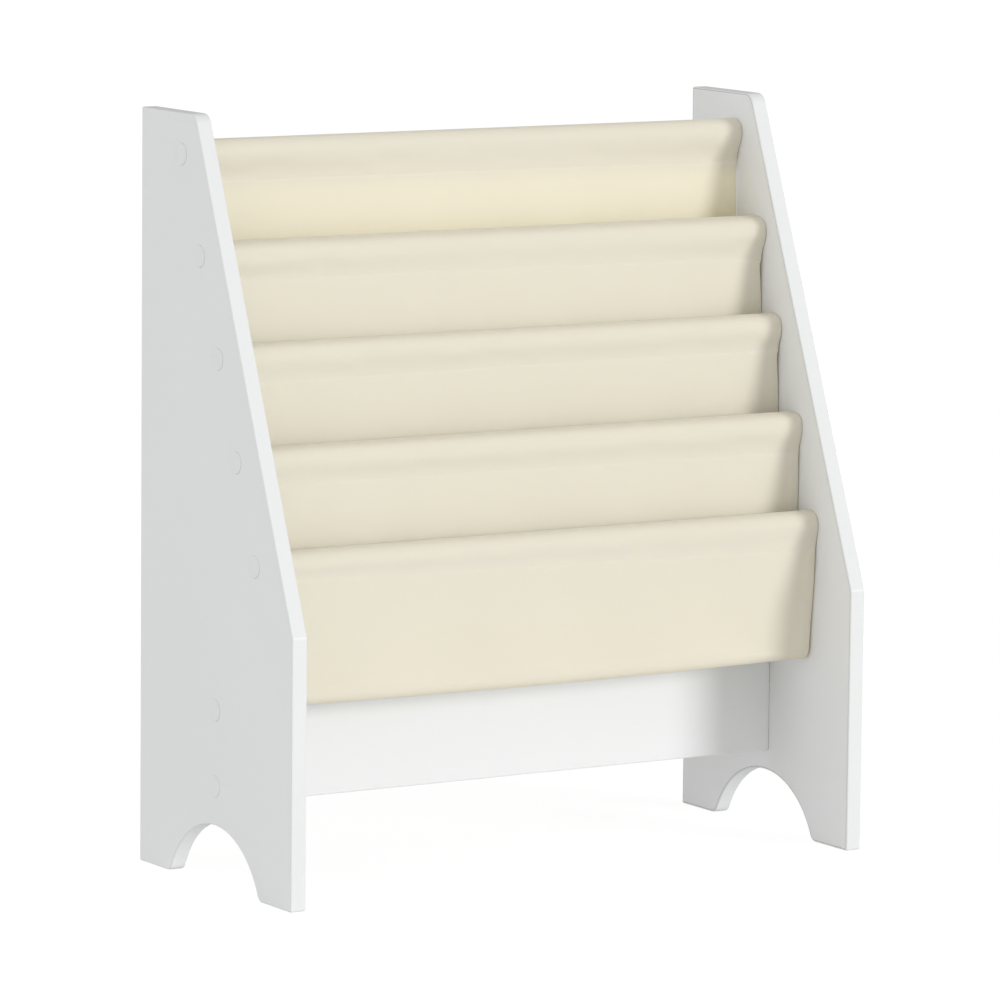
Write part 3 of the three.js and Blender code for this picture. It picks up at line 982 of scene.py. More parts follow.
@dataclass
class Board:
    """A board of any outline in Y-Z, with its thickness or its length along X.

    Attributes:
        name: The piece's name.
        outline: The outline's points in Y and Z, anticlockwise as seen from +X.
        low: Its lowest X.
        high: Its highest X.
        arris: The radius that every edge is rounded over with.
        arris_steps: How many steps that rounding takes.
        joint_side: The end face that shows the joint of the board's edging, if one does.
        joint_width: That joint's width.
        joint_depth: Its depth.
        bores: The holes in its end faces.
    """

    name: str
    outline: list[Point2]
    low: float
    high: float
    arris: float
    arris_steps: int = 4
    joint_side: Side | None = None
    joint_width: float = 0.5 * MM
    joint_depth: float = 0.2 * MM
    bores: list[Bore] = field(default_factory=list)

    def _inset(self, amount: float) -> list[Point2]:
        """The outline, drawn in by an amount."""
        points = [Vector(p) for p in self.outline]
        moved: list[Point2] = []
        for i, point in enumerate(points):
            into = (point - points[i - 1]).normalized()
            away = (points[(i + 1) % len(points)] - point).normalized()
            first, second = Vector((-into.y, into.x)), Vector((-away.y, away.x))
            spot = point + (first + second) * (amount / (1.0 + first.dot(second)))
            moved.append((spot.x, spot.y))
        return moved

    def _edge_rings(self, shell: Shell) -> list[list[int]]:
        """Adds the rings of the board's sides and its two rounded-over edges."""
        rings: list[list[int]] = []
        for face, way in ((self.low, 1.0), (self.high, -1.0)):
            found: list[list[int]] = []
            for i in range(self.arris_steps + 1):
                turn = math.pi / 2 * i / self.arris_steps
                x = face + way * self.arris * (1.0 - math.cos(turn))
                line = self._inset(self.arris * (1.0 - math.sin(turn)))
                points = [(x, y, z) for y, z in line]
                band = math.sin(turn) if self.joint_side else 0.0
                edge = math.sin(2.0 * turn)
                found.append(shell.ring(points, rounded_edge=edge, edging_band=band))
            side = Side.LEFT if way > 0 else Side.RIGHT
            if side is self.joint_side:
                found = [*self._joint_rings(shell, face, way), *found]
            rings.extend(found if way > 0 else reversed(found))
        return rings

    def _joint_rings(self, shell: Shell, face: float, way: float) -> list[list[int]]:
        """Adds the rings of the narrow groove where the edging meets an end face."""
        shares_and_depths = ((1.0, 0.0), (0.7, self.joint_depth), (0.3, self.joint_depth))
        rings = []
        for share, depth in shares_and_depths:
            line = self._inset(self.arris + share * self.joint_width)
            points = [(face + way * depth, y, z) for y, z in line]
            rings.append(shell.ring(points, edging_joint=1.0 if depth else 0.0))
        return rings

    def _bore_rings(self, shell: Shell, bore: Bore) -> tuple[list[int], list[int]]:
        """Adds a bore's walls, and returns the rings at its mouth and its far end."""
        face = self.high if bore.side is Side.RIGHT else self.low
        rings = [
            shell.ring(circle(face - bore.side.value * depth, bore.place, radius, bore.facets))
            for radius, depth in bore.steps
        ]
        shell.skin(rings, bore.side)
        if not bore.through:
            shell.lid(rings[-1], bore.side.value)
        return rings[0], rings[-1]

    def build(self, material: Material) -> Piece:
        """Makes the board.

        Args:
            material: Its finish.

        Returns:
            The piece.
        """
        shell = Shell(self.name)
        rings = self._edge_rings(shell)
        shell.skin(rings)
        mouths: dict[Side, list[list[int]]] = {Side.LEFT: [], Side.RIGHT: []}
        for bore in self.bores:
            mouth, end = self._bore_rings(shell, bore)
            mouths[bore.side].append(mouth)
            if bore.through:
                other = Side.LEFT if bore.side is Side.RIGHT else Side.RIGHT
                mouths[other].append(end)
        shell.plate([rings[0], *mouths[Side.LEFT]], -1.0)
        shell.plate([rings[-1], *mouths[Side.RIGHT]], 1.0)
        return shell.finish(material, sharp=40.0)


@dataclass
class SidePanel:
    """A side panel: upright back, level top, sloping front edge, two feet and an arch.

    Attributes:
        side: Which end of the shelf it stands at.
        places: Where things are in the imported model.
        top_edge_depth: Depth of the level top edge.
        shoulder_height: Where the sloping front edge starts.
        top_radius: Rounding where the top meets the slope.
        shoulder_radius: Rounding at the shoulder.
        square_radius: The small rounding of the square corners.
        foot_length: Length of each foot along the floor.
        foot_radius: Rounding between a foot and the arch.
        arch_height: The arch's highest point.
        arris: Rounding of the board's edges.
        recess_radius: A cap recess's radius.
        recess_depth: Its depth.
        head_radius: Radius of the bore for a screw's head.
        head_depth: That bore's depth from the face.
        shank_radius: Radius of the bore for a screw's shank.
        rim: The tiny rounding at a recess's mouth.
    """

    side: Side
    places: Places
    top_edge_depth: float = 97 * MM
    shoulder_height: float = 240 * MM
    top_radius: float = 12 * MM
    shoulder_radius: float = 8 * MM
    square_radius: float = 1.7 * MM
    foot_length: float = 51 * MM
    foot_radius: float = 9 * MM
    arch_height: float = 54.5 * MM
    arris: float = 1.2 * MM
    recess_radius: float = 10.06 * MM
    recess_depth: float = 1.0 * MM
    head_radius: float = 5.3 * MM
    head_depth: float = 4.8 * MM
    shank_radius: float = 3.3 * MM
    rim: float = 0.12 * MM

    def _arch(self) -> list[Point2]:
        """The underside: front foot, arch and back foot, joined by tangent arcs."""
        half = (self.places.back - self.places.front) / 2
        foot_end = half - self.foot_length
        rise = self.arch_height - self.foot_radius
        radius = (foot_end**2 + rise**2 - self.foot_radius**2) / (2 * self.arch_height)
        centre = (0.0, self.arch_height - radius)
        lean = math.atan2(self.foot_radius - centre[1], foot_end)
        down = -math.pi / 2
        front = arc((-foot_end, self.foot_radius), self.foot_radius, down, -lean, 10)
        crown = arc(centre, radius, math.pi - lean, lean, 56)
        back = arc(
            (foot_end, self.foot_radius), self.foot_radius, math.pi + lean, 2 * math.pi + down, 10
        )
        return [*front, *crown[1:], *back[1:]]

    def _outline(self) -> list[Point2]:
        """The panel's outline in Y and Z, anticlockwise as seen from +X."""
        at = self.places
        corners = [
            (at.back, 0.0),
            (at.back, at.top),
            (at.back - self.top_edge_depth, at.top),
            (at.front, self.shoulder_height),
            (at.front, 0.0),
            (0.0, 0.0),
        ]
        square = (self.square_radius, 4)
        roundings = [square, square, (self.top_radius, 14), (self.shoulder_radius, 8), square]
        outline = rounded_outline(corners, roundings)
        return [*outline, *self._arch()]

    def _bores(self) -> list[Bore]:
        """A stepped bore at each screw, from the cap's recess through to the inner face."""
        thickness = self.places.inner_left - self.places.outer_left
        steps = [
            (self.recess_radius + self.rim, 0.0),
            (self.recess_radius + self.rim / 3, self.rim / 3),
            (self.recess_radius, self.rim),
            (self.recess_radius, self.recess_depth),
            (self.head_radius, self.recess_depth),
            (self.head_radius, self.head_depth),
            (self.shank_radius, self.head_depth),
            (self.shank_radius, thickness),
        ]
        return [Bore(place, steps, True, self.side) for place in self.places.screws.values()]

    def build(self, finishes: Finishes) -> None:
        """Makes the panel and puts it in place."""
        at, is_left = self.places, self.side is Side.LEFT
        board = Board(
            name=f"{self.side.label}_panel_board",
            outline=self._outline(),
            low=at.outer_left if is_left else at.inner_right,
            high=at.inner_left if is_left else at.outer_right,
            arris=self.arris,
            joint_side=Side.RIGHT if is_left else Side.LEFT,
            bores=self._bores(),
        )
        settle(board.build(finishes.board), Slot.BOARD, f"{self.side.label}_side_panel")


@dataclass
class CrossBoard:
    """The board on edge between the panels, low down, with a pilot hole at each screw.

    Attributes:
        places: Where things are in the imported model.
        corner_radius: The rounding of its long edges.
        corner_steps: How many steps that takes.
        arris: The rounding round its ends.
        pilot_radius: A pilot hole's radius.
        pilot_depth: Its depth.
    """

    places: Places
    corner_radius: float = 1.3 * MM
    corner_steps: int = 5
    arris: float = 0.4 * MM
    pilot_radius: float = 3.3 * MM
    pilot_depth: float = 37.5 * MM

    def build(self, finishes: Finishes) -> None:
        """Makes the board and puts it in place."""
        low, high = self.places.board_low, self.places.board_high
        corners = [(high.y, low.z), (high.y, high.z), (low.y, high.z), (low.y, low.z)]
        rounding = (self.corner_radius, self.corner_steps)
        outline = rounded_outline(corners, [rounding] * len(corners))
        steps = [(self.pilot_radius, 0.0), (self.pilot_radius, self.pilot_depth)]
        bores = [
            Bore(self.places.screws[name], steps, False, side, 24)
            for side in Side
            for name in ("board_lower", "board_upper")
        ]
        board = Board("cross_board_panel", outline, low.x, high.x, self.arris, bores=bores)
        settle(board.build(finishes.board), Slot.BOARD, "cross_board")


@dataclass
class CoverCap:
    """A round cover cap over one screw: a slightly crowned disc with a peg behind it.

    Attributes:
        side: The panel that it is in.
        place: The name of its screw's place.
        places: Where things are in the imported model.
        radius: The disc's radius.
        thickness: The disc's thickness at its rim.
        crown: How far its middle stands above its rim.
        rim_radius: Rounding of the rim.
        peg_radius: The peg's radius.
        peg_length: The peg's length behind the disc.
        rim_steps: How many steps the rim's rounding takes.
        dome_rings: The crown's rings, as shares of its radius.
        facets: How many sides it has.
    """

    side: Side
    place: str
    places: Places
    radius: float = 10 * MM
    thickness: float = 1.3 * MM
    crown: float = 0.3 * MM
    rim_radius: float = 0.4 * MM
    peg_radius: float = 1.8 * MM
    peg_length: float = 1.8 * MM
    rim_steps: int = 4
    dome_rings: tuple[float, ...] = (0.85, 0.65, 0.45, 0.25, 0.1)
    facets: int = 56

    def _profile(self) -> list[Point2]:
        """Radius and height above the rim, from the peg's tip round to the crown."""
        flat = self.radius - self.rim_radius
        back = -self.thickness
        rim = arc((flat, -self.rim_radius), self.rim_radius, 0.0, math.pi / 2, self.rim_steps)
        dome = [(flat * share, self.crown * (1.0 - share * share)) for share in self.dome_rings]
        behind = [
            (self.peg_radius * 0.8, back - self.peg_length),
            (self.peg_radius, back - self.peg_length * 0.9),
            (self.peg_radius, back),
            (self.radius, back),
        ]
        return [*behind, *rim, *dome]

    def build(self, finishes: Finishes) -> None:
        """Makes the cap and puts it in place."""
        node = f"cap_{self.side.label}_{self.place}"
        low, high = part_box(node)
        way = self.side.value
        outermost = high.x if self.side is Side.RIGHT else low.x
        rim_x = outermost - way * self.crown
        centre = self.places.screws[self.place]
        shell = Shell(f"cover_{node}")
        rings = [
            shell.ring(circle(rim_x + way * height, centre, radius, self.facets))
            for radius, height in self._profile()
        ]
        shell.skin(rings, self.side)
        shell.lid(rings[0], -way)
        shell.lid(rings[-1], way)
        settle(shell.finish(finishes.cap, sharp=45.0), Slot.CAP, node)


@dataclass
class Stitching:
    """Runs of sewing stitches: short lengths of thread whose ends dip into the cloth.

    Attributes:
        name: The piece's name.
        pitch: From one stitch's start to the next one's.
        length: A stitch's length.
        radius: The thread's radius.
        proud: How far the middle of a stitch's thread stands off the cloth.
        facets: How many sides the thread has.
        rings: What is sewn so far, as stitches by rings by sides by 3.
        SHAPE: At rings along a stitch, as shares of its length, how far its middle stands off
            or, below 0, dips in, and how thick it is.
    """

    SHAPE = (
        (0.0, -1.0, 0.55),
        (0.16, 0.35, 1.0),
        (0.5, 1.0, 1.0),
        (0.84, 0.35, 1.0),
        (1.0, -1.0, 0.55),
    )

    name: str
    pitch: float = 3.4 * MM
    length: float = 2.7 * MM
    radius: float = 0.22 * MM
    proud: float = 0.04 * MM
    facets: int = 6
    rings: list[Array] = field(default_factory=list)

    def follow(self, line: Array, normal: Array, shown: Array | None = None) -> None:
        """Sews along a line on the cloth's surface.

        Args:
            line: The line's places, in order.
            normal: The surface's normal at each.
            shown: Whether stitches are wanted at each, or nothing for all along.
        """
        reach = running_length(np.linalg.norm(np.diff(line, axis=0), axis=1))
        starts = np.arange(self.pitch / 2, reach[-1] - self.length, self.pitch)
        if shown is not None:
            ends = np.stack([starts, starts + self.length])
            starts = starts[(np.interp(ends, reach, shown.astype(float)) > 0.99).all(axis=0)]
        if not len(starts):
            return
        shares, heights, widths = np.array(self.SHAPE).T
        at = starts[:, None] + self.length * shares[None, :]
        spot, up = (
            np.stack([np.interp(at, reach, given[:, k]) for k in range(3)], axis=-1)
            for given in (line, normal)
        )
        up, ahead = unit(up), unit(np.gradient(spot, axis=1))
        aside = np.cross(ahead, up)
        rise = np.where(heights > 0, heights * self.proud, heights * self.radius)
        centre = spot + up * rise[None, :, None]
        turns = 2.0 * math.pi * np.arange(self.facets) / self.facets
        radius = (self.radius * widths)[None, :, None, None]
        ring = centre[:, :, None] + radius * (
            np.cos(turns)[None, None, :, None] * up[:, :, None]
            + np.sin(turns)[None, None, :, None] * aside[:, :, None]
        )
        self.rings.append(ring)

    def build(self, material: Material, cloth: Piece) -> Piece:
        """Makes all the stitches as one piece, carried by the cloth.

        Args:
            material: The thread's finish.
            cloth: The cloth that they are sewn through.

        Returns:
            The piece.
        """
        rings = np.concatenate(self.rings)
        stitches, length, round_count = rings.shape[:3]
        index = np.arange(rings[..., 0].size).reshape(stitches, length, round_count)
        low, high = index[:, :-1], index[:, 1:]
        low_next, high_next = np.roll(low, -1, axis=2), np.roll(high, -1, axis=2)
        sides = np.stack([low, high, high_next, low_next], axis=-1).reshape(-1, 4).tolist()
        ends = index[:, 0].tolist() + index[:, -1, ::-1].tolist()
        mesh = bpy.data.meshes.new(self.name)
        mesh.from_pydata(rings.reshape(-1, 3).tolist(), [], sides + ends)
        mesh.shade_smooth()
        mesh.materials.append(material)
        piece = put_in_scene(self.name, mesh)
        piece.parent = cloth
        LOG.info("%s: %d stitches", self.name, stitches)
        return piece


def interpolation(old: Array, new: Array) -> Array:
    """Smooth interpolation from evenly spaced places, as a matrix.

    Args:
        old: The evenly spaced places.
        new: The places wanted.

    Returns:
        Weights, new places by old ones.
    """
    count = len(old)
    spot = np.clip((new - old[0]) / (old[1] - old[0]), 0.0, count - 1.0)
    base = np.minimum(spot.astype(int), count - 2)
    t = spot - base
    kernel = [
        -0.5 * t + t**2 - 0.5 * t**3,
        1.0 - 2.5 * t**2 + 1.5 * t**3,
        0.5 * t + 2.0 * t**2 - 1.5 * t**3,
        -0.5 * t**2 + 0.5 * t**3,
    ]
    weights = np.zeros((len(new), count))
    for offset, share in zip((-1, 0, 1, 2), kernel):
        np.add.at(weights, (np.arange(len(new)), np.clip(base + offset, 0, count - 1)), share)
    return weights


def even_share(old: Array, new: Array) -> Array:
    """Straight-line interpolation from places of any spacing, as a matrix of new by old."""
    weights = np.zeros((len(new), len(old)))
    base = np.clip(np.searchsorted(old, new, side="right") - 1, 0, len(old) - 2)
    share = np.clip((new - old[base]) / (old[base + 1] - old[base]), 0.0, 1.0)
    weights[np.arange(len(new)), base] = 1.0 - share
    weights[np.arange(len(new)), base + 1] += share
    return weights


@dataclass
class Drape:
    """Lets sheets that are held along their first and last rows settle under their weight.

    Attributes:
        frames: How many steps of the simulation are taken.
        pitch: The simulated grid's pitch.
        growth: How much looser than its shape the cloth is cut, as a share.
        gravity: How much of gravity acts.
        stiffness: How hard it is to stretch.
        bending: How hard it is to bend.
        evening: Folds much narrower than this are smoothed away afterwards.
    """

    frames: int = 30
    pitch: float = 9.0 * MM
    growth: float = 0.004
    gravity: float = 0.35
    stiffness: float = 25.0
    bending: float = 3.0
    evening: float = 20.0 * MM

    def settle(self, grids: list[Array]) -> list[Array]:
        """Simulates some grids together.

        Args:
            grids: Each sheet's places, rows by columns by 3.

        Returns:
            How far each place moves.
        """
        places, faces, pinned = [], [], []
        first = 0
        for grid in grids:
            rows, columns = grid.shape[:2]
            index = first + np.arange(rows * columns).reshape(rows, columns)
            corners = (index[:-1, :-1], index[:-1, 1:], index[1:, 1:], index[1:, :-1])
            faces += np.stack(corners, axis=-1).reshape(-1, 4).tolist()
            places.append(grid.reshape(-1, 3))
            pinned += index[0].tolist() + index[-1].tolist()
            first += rows * columns
        start = np.concatenate(places)
        mesh = bpy.data.meshes.new("drape")
        mesh.from_pydata(start.tolist(), [], faces)
        sheet = put_in_scene("drape", mesh)
        sheet.vertex_groups.new(name="seams").add(pinned, 1.0, "REPLACE")
        cloth = sheet.modifiers.new("drape", "CLOTH")
        settings = cloth.settings
        settings.quality = 6
        settings.mass = 0.3
        settings.tension_stiffness = self.stiffness
        settings.compression_stiffness = self.stiffness
        settings.shear_stiffness = self.stiffness / 3
        settings.bending_stiffness = self.bending
        settings.air_damping = 3.0
        settings.vertex_group_mass = "seams"
        settings.shrink_min = -self.growth
        settings.effector_weights.gravity = self.gravity
        cloth.collision_settings.use_collision = False
        cloth.point_cache.frame_start = 1
        cloth.point_cache.frame_end = self.frames
        scene = bpy.context.scene
        for step in range(1, self.frames + 1):
            scene.frame_set(step)
        settled = sheet.evaluated_get(bpy.context.evaluated_depsgraph_get())
        end = np.zeros(start.size, np.float32)
        settled.data.vertices.foreach_get("co", end)
        bpy.data.objects.remove(sheet)
        bpy.data.meshes.remove(mesh)
        scene.frame_set(1)
        moved = end.reshape(-1, 3).astype(float) - start
        LOG.info("cloth settled: it moved %.1f mm at most", np.abs(moved).max() / MM)
        parts = np.split(moved, np.cumsum([g.shape[0] * g.shape[1] for g in grids])[:-1])
        return [self._evened(part.reshape(grid.shape)) for part, grid in zip(parts, grids)]

    def _evened(self, moved: Array) -> Array:
        """Smooths one grid's moves across the cloth, where narrow folds would show as streaks."""
        spot = self.pitch * np.arange(moved.shape[1])
        share = np.exp(-(((spot[:, None] - spot[None, :]) / self.evening) ** 2) / 2.0)
        share /= share.sum(axis=1, keepdims=True)
        return np.einsum("cd,rdk->rck", share, moved)


@dataclass
class SectionLine:
    """The sling's middle line in Y and Z, from its top hem to its bottom one.

    Attributes:
        y: Each station's Y.
        z: Each station's Z.
        wall: What the cloth is there.
        pocket: The pocket's number, or the sleeve's.
        freedom: How freely it hangs, 0 at the seams and 1 at a pocket's foot.
        below_stitch: How far below the nearest line of stitches it is.
    """

    y: list[float] = field(default_factory=list)
    z: list[float] = field(default_factory=list)
    wall: list[Wall] = field(default_factory=list)
    pocket: list[int] = field(default_factory=list)
    freedom: list[float] = field(default_factory=list)
    below_stitch: list[float] = field(default_factory=list)

    def run(
        self, points: list[Point2], wall: Wall, pocket: int, hang: Point2 | None, stitch_z: float
    ) -> None:
        """Adds a stretch of the line, leaving out its first point if it is there already.

        Args:
            points: The stretch's points.
            wall: What the cloth is there.
            pocket: The pocket's number, or the sleeve's.
            hang: The heights of the top and the foot that it hangs freely between, if it does.
            stitch_z: The height of the nearest line of stitches.
        """
        for y, z in points:
            if self.y and math.hypot(y - self.y[-1], z - self.z[-1]) < SAME_POINT:
                continue
            depth = min(1.0, max(0.0, (hang[0] - z) / (hang[0] - hang[1]))) if hang else 0.0
            self.y.append(y)
            self.z.append(z)
            self.wall.append(wall)
            self.pocket.append(pocket)
            self.freedom.append(math.sin(depth * math.pi / 2) ** 2)
            self.below_stitch.append(stitch_z - z)


@dataclass(frozen=True)
class RowHang:
    """How the cloth hangs at one rod, where the pocket below swings the sleeve forward.

    Attributes:
        lead: How far in front of the rod's axis the seam is, at its ends.
        reach: How far in front of it the sleeve's front comes.
        seam: How far below it the seam is, at the left end, in the middle and at the right end.
        lean: How far the wall under the seam comes forward on its way down.
        notch: How far each side edge is drawn in under the stitches.
        bow: How much further forward the middle of the seam is than its ends.
    """

    lead: float
    reach: float
    seam: Point3
    lean: float = 0.0
    notch: float = 1.0 * MM
    bow: float = 0.0

    def lead_at(self, across: float) -> float:
        """The seam's lead at a place across the shelf, from -1 at the left to 1 at the right."""
        return self.lead + self.bow * (1.0 - across**2)

    def seam_at(self, across: float) -> float:
        """The seam's depth at a place across the shelf, from -1 at the left to 1 at the right."""
        left, middle, right = self.seam
        return middle + (right - left) / 2 * across + ((left + right) / 2 - middle) * across**2


@dataclass(frozen=True)
class SeamRelief:
    """How the cloth stands off its layer near a line of stitches.

    Attributes:
        depth: How far the stitches pull the cloth in.
        dip: How wide their dip is, to either side of them.
        under: Where the fullness below them starts to fade, and the length that this takes.
        over: The same above them.
        far_share: What is left of the fullness far below.
        over_share: How much of it there is above them.
        unevenness: How much the puckers along the stitches change it.
        puckers: The shortest and the longest of those puckers.
        end: How far from the stitches it stops.
    """

    depth: float = 0.5 * MM
    dip: float = 1.4 * MM
    under: Point2 = (2 * MM, 9 * MM)
    over: Point2 = (3 * MM, 8 * MM)
    far_share: float = 0.12
    over_share: float = 0.3
    unevenness: float = 0.3
    puckers: Point2 = (7 * MM, 34 * MM)
    end: float = 40 * MM

    def at(self, below: Array, uneven: Array) -> Array:
        """How far the cloth stands off.

        Args:
            below: How far below the stitches each place is.
            uneven: The puckers' waviness there.

        Returns:
            The distances, 0 at the stitches.
        """
        dip = 1.0 - np.exp(-((below / self.dip) ** 2))
        under = 1.0 - smooth_step((below - self.under[0]) / self.under[1])
        over = 1.0 - smooth_step((-below - self.over[0]) / self.over[1])
        lower = self.far_share + (1.0 - self.far_share) * under
        share = np.where(below > 0, lower, self.over_share * over)
        lift = self.depth * (dip * share) * (1.0 + self.unevenness * uneven)
        return np.where(np.abs(below) < self.end, lift, 0.0)


@dataclass
class ClothGrid:
    """The cloth's middle surface, as a grid of stations down it by columns across it.

    Attributes:
        line: The middle line half way across, with what the cloth is at each station.
        x: The columns across the cloth.
        thickness: The cloth's thickness at each column.
        middle: Each place on the middle surface, as stations by columns by 3.
    """

    line: SectionLine
    x: Array
    thickness: Array
    middle: Array

    def normals(self) -> Array:
        """The surface's unit normals, towards the outside of the sleeves."""
        down, across = np.gradient(self.middle, axis=0), np.gradient(self.middle, axis=1)
        return unit(np.cross(across, down))


@dataclass
class Sling:
    """The long cream cloth: a sleeve sewn round each rod and a pocket between each pair.

    Attributes:
        places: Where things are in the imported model.
        hangs: How the cloth hangs at each rod, from the top one down.
        cloth: The cloth's thickness.
        hem_cloth: Its thickness where the edge is turned under.
        hem_width: Width of that turned edge.
        hem_stitch_inset: The hem's stitches, in from the edge.
        side_gap: Between the cloth and each panel.
        loop_ease: Between a rod and the inside of its sleeve.
        band_half: From the line of stitches to the top and the foot of the sewn band.
        pocket_drop: A pocket's lowest point below its front rod's axis.
        draw_back: How far a front wall leans back towards its foot.
        sag: How much lower the middle hangs than the ends.
        notch_reach: How far below the stitches the notch in the side edges is felt.
        notch_over: How far above them it is.
        notch_share: How much of it there is at the stitches themselves.
        notch_ease: Where below them it starts to grow to its full size, and over what length.
        narrowing: How far the side edges draw in at a pocket's foot.
        fold_depth: Depth of the broad upright folds.
        fold_count: How many waves they make across the shelf.
        fold_phase_step: Radians from one pocket's folds to the next one's.
        back_fold_share: The back wall's folds against the front wall's.
        relief: How the cloth stands off near the stitches.
        tail: Cloth below the sewn band behind the top rod and behind the bottom one.
        tail_splay: How far that cloth stands off, as a slope.
        column_pitch: Width of one column of the mesh.
        hem_step: Width of the columns where the hem starts.
        hem_fade: How far from a seam the hem starts to space the layers less, and the
            length over which that fades.
        layer_gap: Half the gap between two layers that are sewn together.
        seed: What the small creases are drawn from.
        start_crease: Depth of the creases that the simulation starts from.
        crease_waves: Their shortest and longest waves, and their slant.
        most_moved: How far the simulation may move the cloth.
        sideways_share: How much of its moves along the shelf is kept.
        room_share: How much of the room between two walls one of them may take.
        least_room: What it may take where they touch.
        slack_change: How unevenly the slack in front of a rod stands off.
        slack_place: How far above the stitches that slack lies, and how far it spreads.
        slack_waves: Its shortest and longest waves, and their slant.
        seam_waver: How far the seams stray up and down from a straight line.
        seam_waves: Their shortest and longest waves.
        seam_spread: How far from the stitches the cloth strays with them.
        row_shifts: How far on the puckers', the slack's and the seams' waves are in the next row.
        square_slack: The slack at which a sleeve's shoulder is at its squarest.
        shoulder_share: How far below the rod's axis a shoulder ends, as a share of that slack.
        band_step: The mesh's pitch down a sewn band.
        wall_crowding: The power that crowds a wall's stations towards its seam.
        round_steps: Steps round the back of a rod, and then down to the band.
        shoulder_steps: Steps over the shoulder in front, and then down to the band.
        pocket_steps: Steps down a pocket's wall, and round its foot.
        on_stitches: How near the stitches a station is on them.
        hem_break: How far from a seam the hem's stitches stop in front.
        crowded: From where to where, below a seam, the hems have no stitches at the back.
    """

    places: Places
    hangs: tuple[RowHang, ...] = (
        RowHang(4.5 * MM, 12.2 * MM, (25 * MM, 25 * MM, 27.5 * MM), -6 * MM, 2 * MM, 5 * MM),
        RowHang(15 * MM, 21 * MM, (22 * MM, 22 * MM, 26 * MM), 7 * MM, 2.9 * MM, 3 * MM),
        RowHang(11.5 * MM, 15.5 * MM, (21.5 * MM, 20 * MM, 20 * MM), 2 * MM, 2.2 * MM),
        RowHang(13.5 * MM, 18 * MM, (20 * MM, 21.5 * MM, 23 * MM)),
        RowHang(10 * MM, 13.4 * MM, (12.5 * MM, 17.5 * MM, 22 * MM)),
    )
    cloth: float = 0.8 * MM
    hem_cloth: float = 1.2 * MM
    hem_width: float = 9 * MM
    hem_stitch_inset: float = 6.5 * MM
    side_gap: float = 0.5 * MM
    loop_ease: float = 0.5 * MM
    band_half: float = 1.5 * MM
    pocket_drop: float = 124.8 * MM
    draw_back: float = 10 * MM
    sag: float = 2 * MM
    notch_reach: float = 28 * MM
    notch_over: float = 9 * MM
    notch_share: float = 0.4
    notch_ease: Point2 = (0.5 * MM, 4 * MM)
    narrowing: float = 1.8 * MM
    fold_depth: float = 1.8 * MM
    fold_count: float = 3.5
    fold_phase_step: float = 1.9
    back_fold_share: float = 0.6
    relief: SeamRelief = SeamRelief()
    tail: float = 7 * MM
    tail_splay: float = 0.12
    column_pitch: float = 5.6 * MM
    hem_step: float = 1.2 * MM
    hem_fade: Point2 = (18 * MM, 26 * MM)
    layer_gap: float = 0.06 * MM
    seed: int = 4
    start_crease: float = 0.3 * MM
    crease_waves: Point3 = (70 * MM, 260 * MM, 0.35)
    most_moved: float = 5 * MM
    sideways_share: float = 0.15
    room_share: float = 0.4
    least_room: float = 0.02 * MM
    slack_change: float = 0.5 * MM
    slack_place: Point2 = (13 * MM, 6 * MM)
    slack_waves: Point3 = (38 * MM, 150 * MM, 0.5)
    seam_waver: float = 0.45 * MM
    seam_waves: Point2 = (45 * MM, 170 * MM)
    seam_spread: float = 14 * MM
    row_shifts: Point3 = (0.9, 0.7, 0.6)
    square_slack: float = 6 * MM
    shoulder_share: float = 0.3
    band_step: float = 0.3 * MM
    wall_crowding: float = 1.6
    round_steps: tuple[int, int] = (26, 10)
    shoulder_steps: tuple[int, int] = (22, 16)
    pocket_steps: tuple[int, int] = (38, 20)
    on_stitches: float = 0.16 * MM
    hem_break: float = 2 * MM
    crowded: Point2 = (-4 * MM, 45 * MM)

    def __post_init__(self) -> None:
        """Works out the sizes that follow."""
        self.layer_offset = self.cloth / 2 + self.layer_gap
        self.loop_radius = self.places.rod_radius + self.loop_ease + self.cloth / 2
        self.half_width = (self.places.inner_right - self.places.inner_left) / 2 - self.side_gap

    def _sleeve_back(self, index: int, across: float) -> list[Point2]:
        """Half a sleeve, from the top of the rod round behind it to the top of the sewn band."""
        (y0, z0), hang = self.places.rods[index], self.hangs[index]
        end_y = self.layer_offset - hang.lead_at(across)
        end = Vector((end_y, self.band_half - hang.seam_at(across)))
        leaving = math.atan2(end.y, end.x) + math.acos(self.loop_radius / end.length)
        round_steps, steps = self.round_steps
        around = arc((0.0, 0.0), self.loop_radius, math.pi / 2, leaving, round_steps)
        off = Vector(around[-1])
        straight = [off.lerp(end, i / steps) for i in range(1, steps + 1)]
        return [(y0 + y, z0 + z) for y, z in [*around, *((s.x, s.y) for s in straight)]]

    def _sleeve_front(self, index: int, across: float) -> list[Point2]:
        """The other half, over a rounded shoulder and then down to the top of the sewn band."""
        (y0, z0), hang = self.places.rods[index], self.hangs[index]
        end_y = -hang.lead_at(across) - self.layer_offset
        end_z = self.band_half - hang.seam_at(across)
        looseness = hang.reach - self.loop_radius
        shoulder = -self.shoulder_share * looseness
        power = 2.0 / (2.0 + min(1.0, looseness / self.square_slack))
        over_steps, down_steps = self.shoulder_steps
        points = []
        for i in range(over_steps + 1):
            turn = math.pi / 2 * i / over_steps
            out, up = math.sin(turn) ** power, max(0.0, math.cos(turn)) ** power
            points.append((-hang.reach * out, shoulder + (self.loop_radius - shoulder) * up))
        for i in range(1, down_steps + 1):
            t = i / down_steps
            y = -hang.reach + (end_y + hang.reach) * float(smooth_step(t))
            points.append((y, shoulder + (end_z - shoulder) * t))
        return [(y0 + y, z0 + z) for y, z in points]

